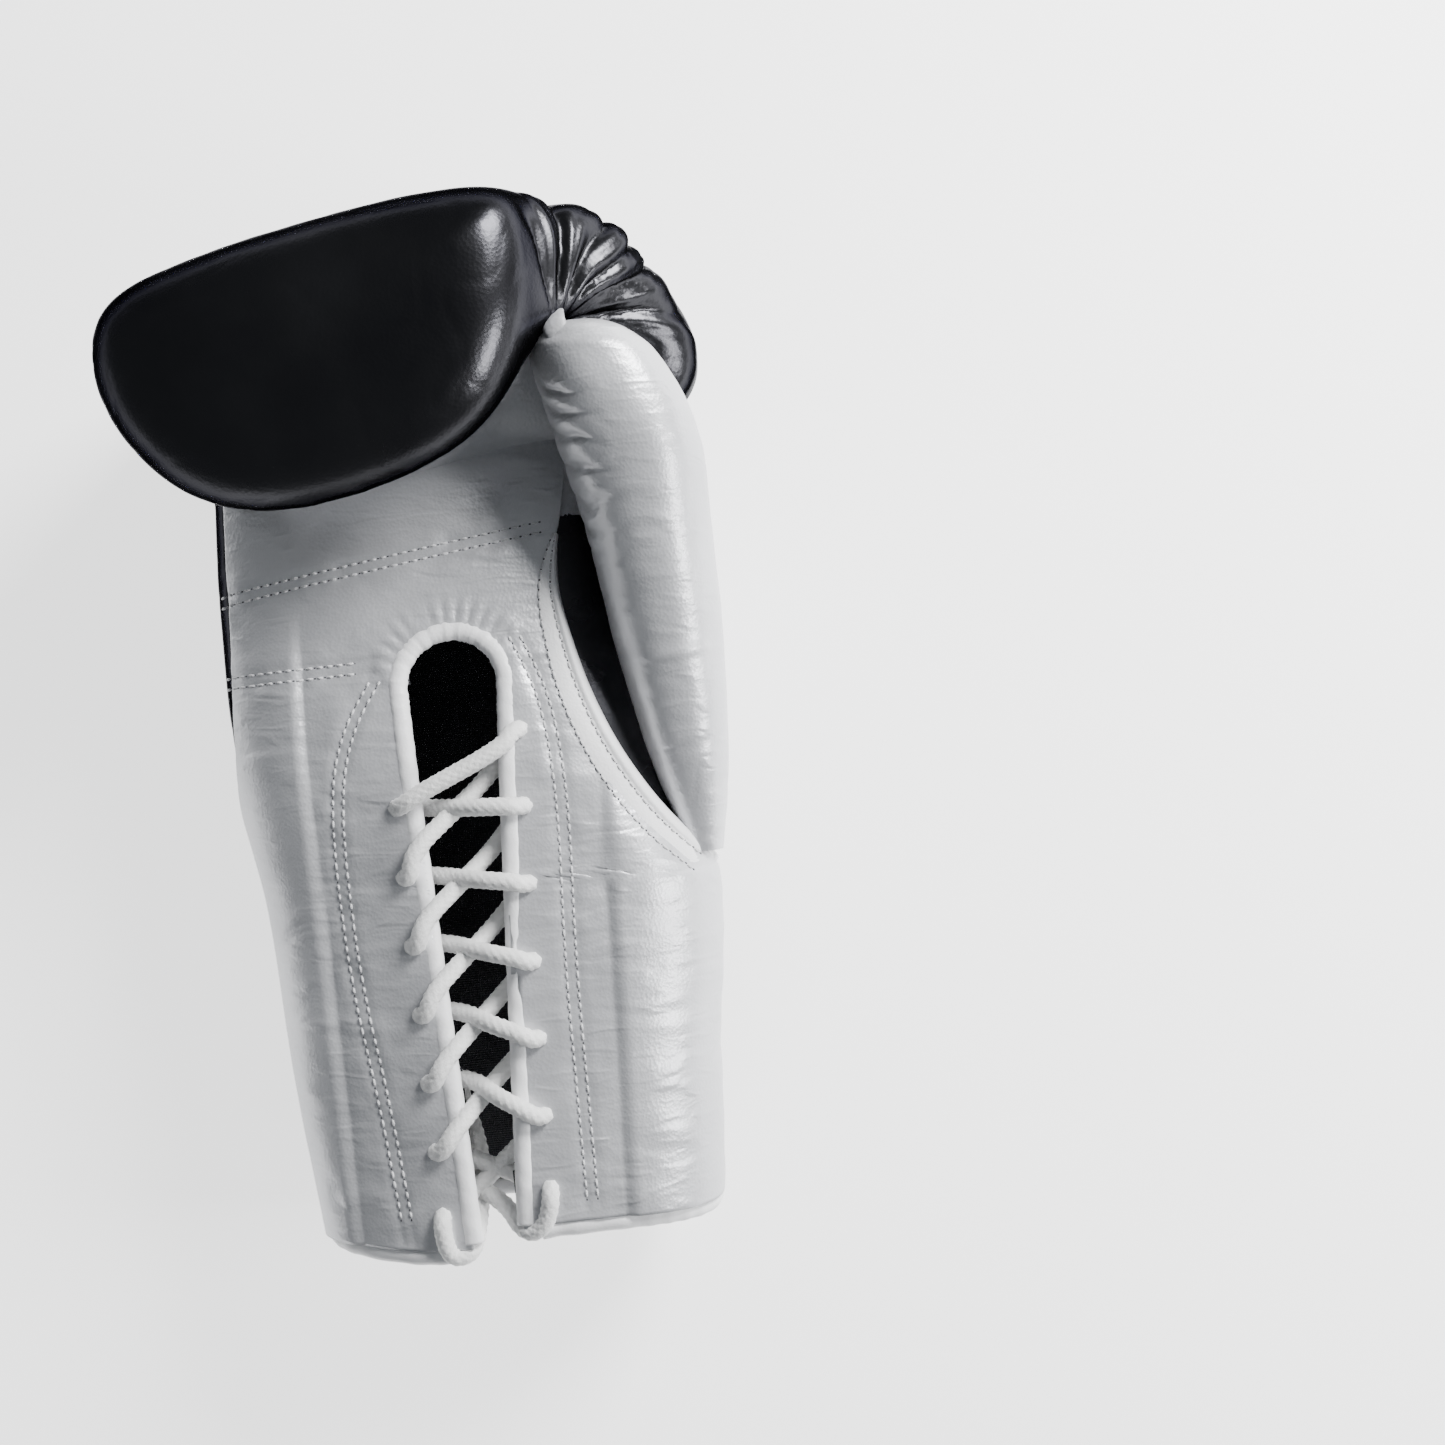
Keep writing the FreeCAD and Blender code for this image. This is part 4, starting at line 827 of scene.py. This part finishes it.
def make_placket_binding():
    top, hem = SLOT_TOP_HALF + BINDING_R, SLOT_HEM_HALF + BINDING_R
    arch = [(SLOT_X + top * math.cos(a), SLOT_ROUND_Y + top * math.sin(a))
            for a in np.linspace(math.pi, 0, 30)]
    plan = [(SLOT_X - hem, HEM + 1.5)] + arch + [(SLOT_X + hem, HEM + 1.5)]
    step = 0.8
    flat = even_path([(x, y, 0) for x, y in plan], step)
    height = palm_height(flat[:, 0], flat[:, 1], PALM_LIFT) - 0.9
    path = droop(np.column_stack([flat[:, :2], height]))

    def puckers(length, turn):
        middle = len(flat) * step / 2
        arch_part = bell(length - middle, 34)
        return (0.16 * np.sin(length * 2.3 + np.sin(length * 0.7) * 2) * arch_part
                + 0.05 * np.sin(length * 0.9 + 2 * turn))

    return tube("placket_binding_leather", path, BINDING_R + 0.1, BINDING, 20, puckers,
                flat=0.86)


def make_hem_binding():
    """White binding round the hem, from one side of the lacing to the other."""
    gap = 0.04
    turn = np.linspace(math.pi / 2 + gap, math.pi / 2 + 2 * math.pi - gap, 420)
    x, z = tube_section(np.full(len(turn), HEM), turn, -1.2)
    keep = ~((z > 50) & (np.abs(x - SLOT_X) < SLOT_HEM_HALF + 5.6))
    path = droop(np.column_stack([x, np.full(len(x), HEM - 1.6), z])[keep])
    path = even_path(path, 1.0)

    def ripple(length, turn):
        return 0.10 * np.sin(length * 0.8 + np.sin(length * 0.13) * 3)

    return tube("hem_binding_leather", path, 3.1, BINDING, 18, ripple)


def along_crescent():
    """Places on the palm leather's edge beside the thumb, and the direction away from it."""
    centre = smooth_row(CRESCENT, 1.0)
    ahead = np.gradient(centre, axis=0)
    ahead /= np.linalg.norm(ahead, axis=1, keepdims=True)
    return centre, np.column_stack([ahead[:, 1], -ahead[:, 0]])


def band_width(centre):
    share = np.linspace(0, 1, len(centre))
    return through(((0, 1.0), (0.12, 4.8), (0.3, 7.4), (0.6, 8.8), (0.85, 8.2), (1, 7.0)), share)


def make_band():
    """White crescent band round the thumb's black inside: a folded strip with a piped edge."""
    centre, side = along_crescent()
    width = band_width(centre)
    profile = ((1.0, -0.6), (0.97, 0.9), (0.85, 1.35), (0.6, 1.55), (0.35, 1.45), (0.22, 1.15),
               (0.14, 1.5), (0.05, 2.1), (-0.06, 2.1), (-0.15, 1.4), (-0.2, 0.0), (-0.2, -2.6))
    across = []
    for share, lift in profile:
        plan = centre + side * (width * share)[:, None]
        height = palm_height(plan[:, 0], plan[:, 1], PALM_LIFT) + lift
        across.append(np.column_stack([plan, height]))
    points = np.stack(across, axis=1)
    piece = make_mesh("crescent_band_leather", points.reshape(-1, 3),
                      grid_faces(len(centre), len(profile)), BINDING)
    return with_modifier(piece, "SUBSURF", levels=1, render_levels=1)


HOLES = 7
LAST = HOLES - 1
LEFT_HOLES = [(-16.6 + 3.2 * k / LAST, -18.2 - 20.4 * k) for k in range(HOLES)]
RIGHT_HOLES = [(22.8 - 3.6 * k / LAST, 2.3 - 22.9 * k) for k in range(HOLES)]
LACE_R = 2.5


def surface(x, y, lift):
    """A point at a height above the palm side's leather."""
    return (x, y, float(palm_height(np.array(x), np.array(y), PALM_LIFT)) + lift)


def lace_corners():
    """Corner points of the whole lace, worked out strand by strand from the arch down."""
    under = -9.5                # height behind the leather

    def strand_points(start, target, from_left):
        edge = float(slot_half(np.array((start[1] + target[1]) / 2)))
        near = -1 if from_left else 1
        if from_left:
            emerge_y = start[1] - 1.0
            emerge = (SLOT_X - edge + 2.8, emerge_y)
            crest = (SLOT_X + edge + BINDING_R,
                     emerge_y + (target[1] - emerge_y) * 0.72)
            lift = 4.6
        else:
            emerge_y = start[1] + (target[1] - start[1]) * 0.32
            emerge = (SLOT_X + edge - 2.8, emerge_y)
            crest = (SLOT_X - edge - BINDING_R,
                     emerge_y + (target[1] - emerge_y) * 0.72)
            lift = 4.4
        middle = ((emerge[0] + crest[0]) / 2, (emerge[1] + crest[1]) / 2)
        return [surface(start[0], start[1], 0.6), surface(start[0] - near * 1.5, start[1], under),
                surface(emerge[0], emerge[1], -6.5),
                surface(middle[0], middle[1], 2.6 if from_left else -2.6),
                surface(crest[0], crest[1], lift),
                surface(target[0] + (-2.5 if from_left else 2.5), target[1], 3.2)]

    def half(side):
        points = []
        for step in range(HOLES - 2):
            if side == "left":
                points += strand_points(LEFT_HOLES[step], RIGHT_HOLES[step + 1], True)
                side = "right"
            else:
                points += strand_points(RIGHT_HOLES[step], LEFT_HOLES[step + 1], False)
                side = "left"
        return points

    def end(start, last, outward):
        return [surface(start[0], start[1], 0.6), surface(start[0] + outward, start[1], -10),
                surface(last[0] + outward, last[1], -10), surface(last[0], last[1] + 2, 0.4),
                surface(last[0], last[1] - 1, 2.8)]

    left_tuck = [(-13.4, -145.5, 74.5), (-12.6, -150.6, 73), (-9.5, -152.6, 72),
                 (-5.5, -151, 70.5), (-4.2, -146, 67), (-3.6, -140, 61), (-2, -128, 56),
                 (-8, -104, 53), (-16, -86, 51), (-20, -70, 50)]
    right_tuck = [(18.6, -139.5, 75), (16.6, -144.6, 74), (12.6, -147.2, 72.5),
                  (8.6, -145.2, 70), (5.6, -140.5, 66.5), (0, -136.4, 63), (-6, -134, 60),
                  (-13, -126, 55), (-16, -112, 52)]
    bar = [surface(RIGHT_HOLES[0][0] - 3, RIGHT_HOLES[0][1] - 1, 3.4),
           surface(SLOT_X + 14, -3.0, 4.6), surface(SLOT_X - 12, -14.5, 4.6),
           surface(LEFT_HOLES[0][0] + 3, LEFT_HOLES[0][1] + 1, 3.4)]
    first = half("left") + end(RIGHT_HOLES[LAST - 1], LEFT_HOLES[LAST], 2.0) + left_tuck
    second = half("right") + end(LEFT_HOLES[LAST - 1], RIGHT_HOLES[LAST], -2.0) + right_tuck
    return second[::-1] + bar + first


def make_lace():
    path = curve_through(lace_corners(), 0.45, rounds=3)

    def braid(length, turn):
        twist = length * 1.25
        return (0.30 * np.abs(np.sin(turn * 3 + twist)) + 0.30 * np.abs(np.sin(turn * 3 - twist))
                - 0.30)

    return tube("lace_braid", path, LACE_R, LACE, 20, braid)


def height_on(pieces):
    """A finder of the height of the uppermost of some pieces at a place in plan."""
    trees = []
    for piece in pieces:
        mesh = piece.data
        trees.append(BVHTree.FromPolygons([v.co.copy() for v in mesh.vertices],
                                          [list(p.vertices) for p in mesh.polygons]))

    def height(x, y):
        found = [tree.ray_cast(Vector((x * MM, y * MM, 0.3)), Vector((0, 0, -1)))[0]
                 for tree in trees]
        levels = [hit.z / MM for hit in found if hit is not None]
        return max(levels) if levels else float(palm_height(x, y, PALM_LIFT))
    return height


PITCH, STITCH = 3.1, 2.2        # of the stitch rows; the gap holds a near-black body, painted shade of the needle hole
THREAD_SHAPE = ((0.0, 0.12, -0.35), (0.18, 0.36, 0.02), (0.5, 0.42, 0.12), (0.82, 0.36, 0.02),
                (1.0, 0.12, -0.35))
HOLE_SHAPE = ((0.0, 0.08, -0.24), (0.2, 0.30, -0.20), (0.5, 0.40, -0.22), (0.8, 0.30, -0.20),
              (1.0, 0.08, -0.24))


def make_stitches(leather, band):
    """Every stitch of the palm side as a short raised thread, with a near-black body after it:
    painted shade in its needle hole.
    """
    threads, hole_shades = ([], []), ([], [])
    height = height_on([leather, band])
    step = 0.5
    rows = [smooth_row(row, step) for row in ROWS]
    centre, side = along_crescent()
    width = band_width(centre)[:, None]
    rows += [even_row(centre + side * width * 0.22), even_row(centre + side * width * 0.86)]
    for row in rows:
        for k in range(int(len(row) * step / PITCH) - 1):
            start, end, after = (row[int((k * PITCH + away) / step)]
                                 for away in (0, STITCH, PITCH))
            if np.linalg.norm(end - start) > 1.0:
                add_stitch(*threads, start, end, height, THREAD_SHAPE)
                # the dark body in the gap is painted shade of the needle hole
                add_stitch(*hole_shades, end, after, height, HOLE_SHAPE)
    return (make_mesh("palm_stitches", *threads, THREAD),
            make_mesh("palm_needle_hole_painted_shade", *hole_shades, HOLE_PAINTED_SHADE))


def add_stitch(points, faces, a, b, height, shape):
    """Add a small body between two places in plan: a share, a radius and a rise at each ring."""
    ahead = (b - a) / np.linalg.norm(b - a)
    side = np.array((-ahead[1], ahead[0]))
    base = len(points)
    for share, radius, rise in shape:
        spot = a + (b - a) * share
        z = height(spot[0], spot[1]) + rise
        for turn in np.arange(6) / 6 * 2 * math.pi:
            plan = spot + side * radius * math.cos(turn)
            points.append((plan[0], plan[1], z + radius * math.sin(turn)))
    faces.extend([[base + i for i in f] for f in grid_faces(len(shape), 6, closed=True)])


def make_lining():
    """Black inside of cuff and hand, open at the lacing."""
    rows, columns = 120, 96
    y = np.linspace(HEM + 1, 92, rows)[:, None] + np.zeros(columns)
    turn = (np.arange(columns) / columns * 2 * math.pi)[None, :]
    wall = through(((-146, 3.4), (-120, 7), (-96, 9), (95, 12)), y[:, 0])[:, None]
    front = 4.6
    cx, half = through(CENTRE, y), through(HALF, y) - wall
    low, top = through(LOW, y) + wall, through(TOP, y) - front
    c, s = np.cos(turn), np.sin(turn)
    power = 2 / 2.6
    x = cx + half * np.sign(c) * np.abs(c) ** power
    z = (low + top) / 2 + (top - low) / 2 * np.sign(s) * np.abs(s) ** power
    points = np.dstack([x, y, z]).reshape(-1, 3)
    points = points + 1.4 * noise(points * (1.6, 0.5, 1), 16, 81)[:, None] * (0.2, 0, 1)
    piece = make_mesh("lining_cloth_inside", droop(points),
                      [f[::-1] for f in grid_faces(rows, columns, closed=True)], CLOTH)
    centres = face_centres(piece)
    opening = np.abs(centres[:, 0] - SLOT_X) < slot_half(centres[:, 1]) + 2.0
    opening &= (centres[:, 1] < SLOT_ROUND_Y + SLOT_TOP_HALF) & (centres[:, 2] > 50)
    arch = np.hypot(centres[:, 0] - SLOT_X, centres[:, 1] - SLOT_ROUND_Y)
    opening |= (arch < SLOT_TOP_HALF + 2) & (centres[:, 1] > SLOT_ROUND_Y) & (centres[:, 2] > 50)
    keep_faces(piece, ~opening)
    return piece


# ---------------------------------------------------------------- camera, light, floor


def stage():
    scene = bpy.context.scene
    floor = bpy.data.meshes.new("floor")
    floor.from_pydata([(-3, -3, -0.0004), (3, -3, -0.0004), (3, 3, -0.0004), (-3, 3, -0.0004)],
                      [], [(0, 1, 2, 3)])
    plane = bpy.data.objects.new("floor", floor)
    scene.collection.objects.link(plane)
    white = new_material("pale_floor", (0.88, 0.88, 0.88), 0.8, Emission_Strength=1.9)
    white.node_tree.nodes["Principled BSDF"].inputs["Emission Color"].default_value = (1,) * 4
    floor.materials.append(white)
    world = bpy.data.worlds.new("studio")
    world.use_nodes = True
    world.node_tree.nodes["Background"].inputs["Color"].default_value = (0.9, 0.95, 1, 1)
    world.node_tree.nodes["Background"].inputs["Strength"].default_value = 0.22
    scene.world = world
    for name, place, size, power in (("key", (0.60, 0.55, 0.52), 0.36, 19.0),
                                     ("side", (0.75, -0.15, 0.42), 0.25, 5.0)):
        lamp = bpy.data.lights.new(name, "AREA")
        lamp.size, lamp.energy = size, power
        light = bpy.data.objects.new(name, lamp)
        light.location = place
        aim = Vector((0, 0.02, 0.05)) - Vector(place)
        light.rotation_euler = aim.to_track_quat("-Z", "Y").to_euler()
        scene.collection.objects.link(light)


def camera():
    """Straight down from 650 mm, a little to the thumb side, turned with the glove's lean."""
    lens = bpy.data.cameras.new("camera")
    lens.sensor_width, lens.lens = 36.0, 48.6
    lens.clip_start = 0.01
    eye = bpy.data.objects.new("camera", lens)
    eye.location = (0.0822, -0.0015, 0.650)
    eye.rotation_euler = (0, 0, math.radians(-5.2))
    bpy.context.scene.collection.objects.link(eye)
    bpy.context.scene.camera = eye


# ---------------------------------------------------------------- put together


def bends_at_wrist(piece):
    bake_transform(piece)


palm = make_palm_leather()
bends_at_wrist(palm)
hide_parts("palm_panel", "cuff_left_panel", "cuff_right_panel", "palm_pad",
            "cuff_left_pad", "cuff_right_pad", "left_hole_strip", "right_hole_strip")

back, fist = split_black(detail_black(make_black_body()))
bends_at_wrist(back)
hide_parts("cuff_back_panel", "cuff_back_pad", "back_pad", "thumb_gusset")
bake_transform(fist)
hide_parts("back_cover", "finger_cover", "index_side_cover", "finger_pad",
            "index_side_pad", "knuckle_outer_pad", "knuckle_inner_pad")

whiten_behind_roll(fist)
thumb = make_thumb()
tether = make_tether()
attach(tether, "thumb")
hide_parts("thumb_tether")
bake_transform(thumb)
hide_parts("thumb_cover", "thumb_pad", "thumb_lining")

binding = make_placket_binding()
hem = make_hem_binding()
lace = make_lace()
lining = make_lining()
band = make_band()
stitches, hole_shades = make_stitches(palm, band)
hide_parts("placket_binding")
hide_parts("lace", "lace_tips")
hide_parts("hem_binding")
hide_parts("cuff_lining", "hand_lining", "finger_lining")
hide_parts("crescent_band")
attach(hem, "cuff")
for piece in (binding, lace, stitches, hole_shades, lining, band):
    bends_at_wrist(piece)

stage()
camera()
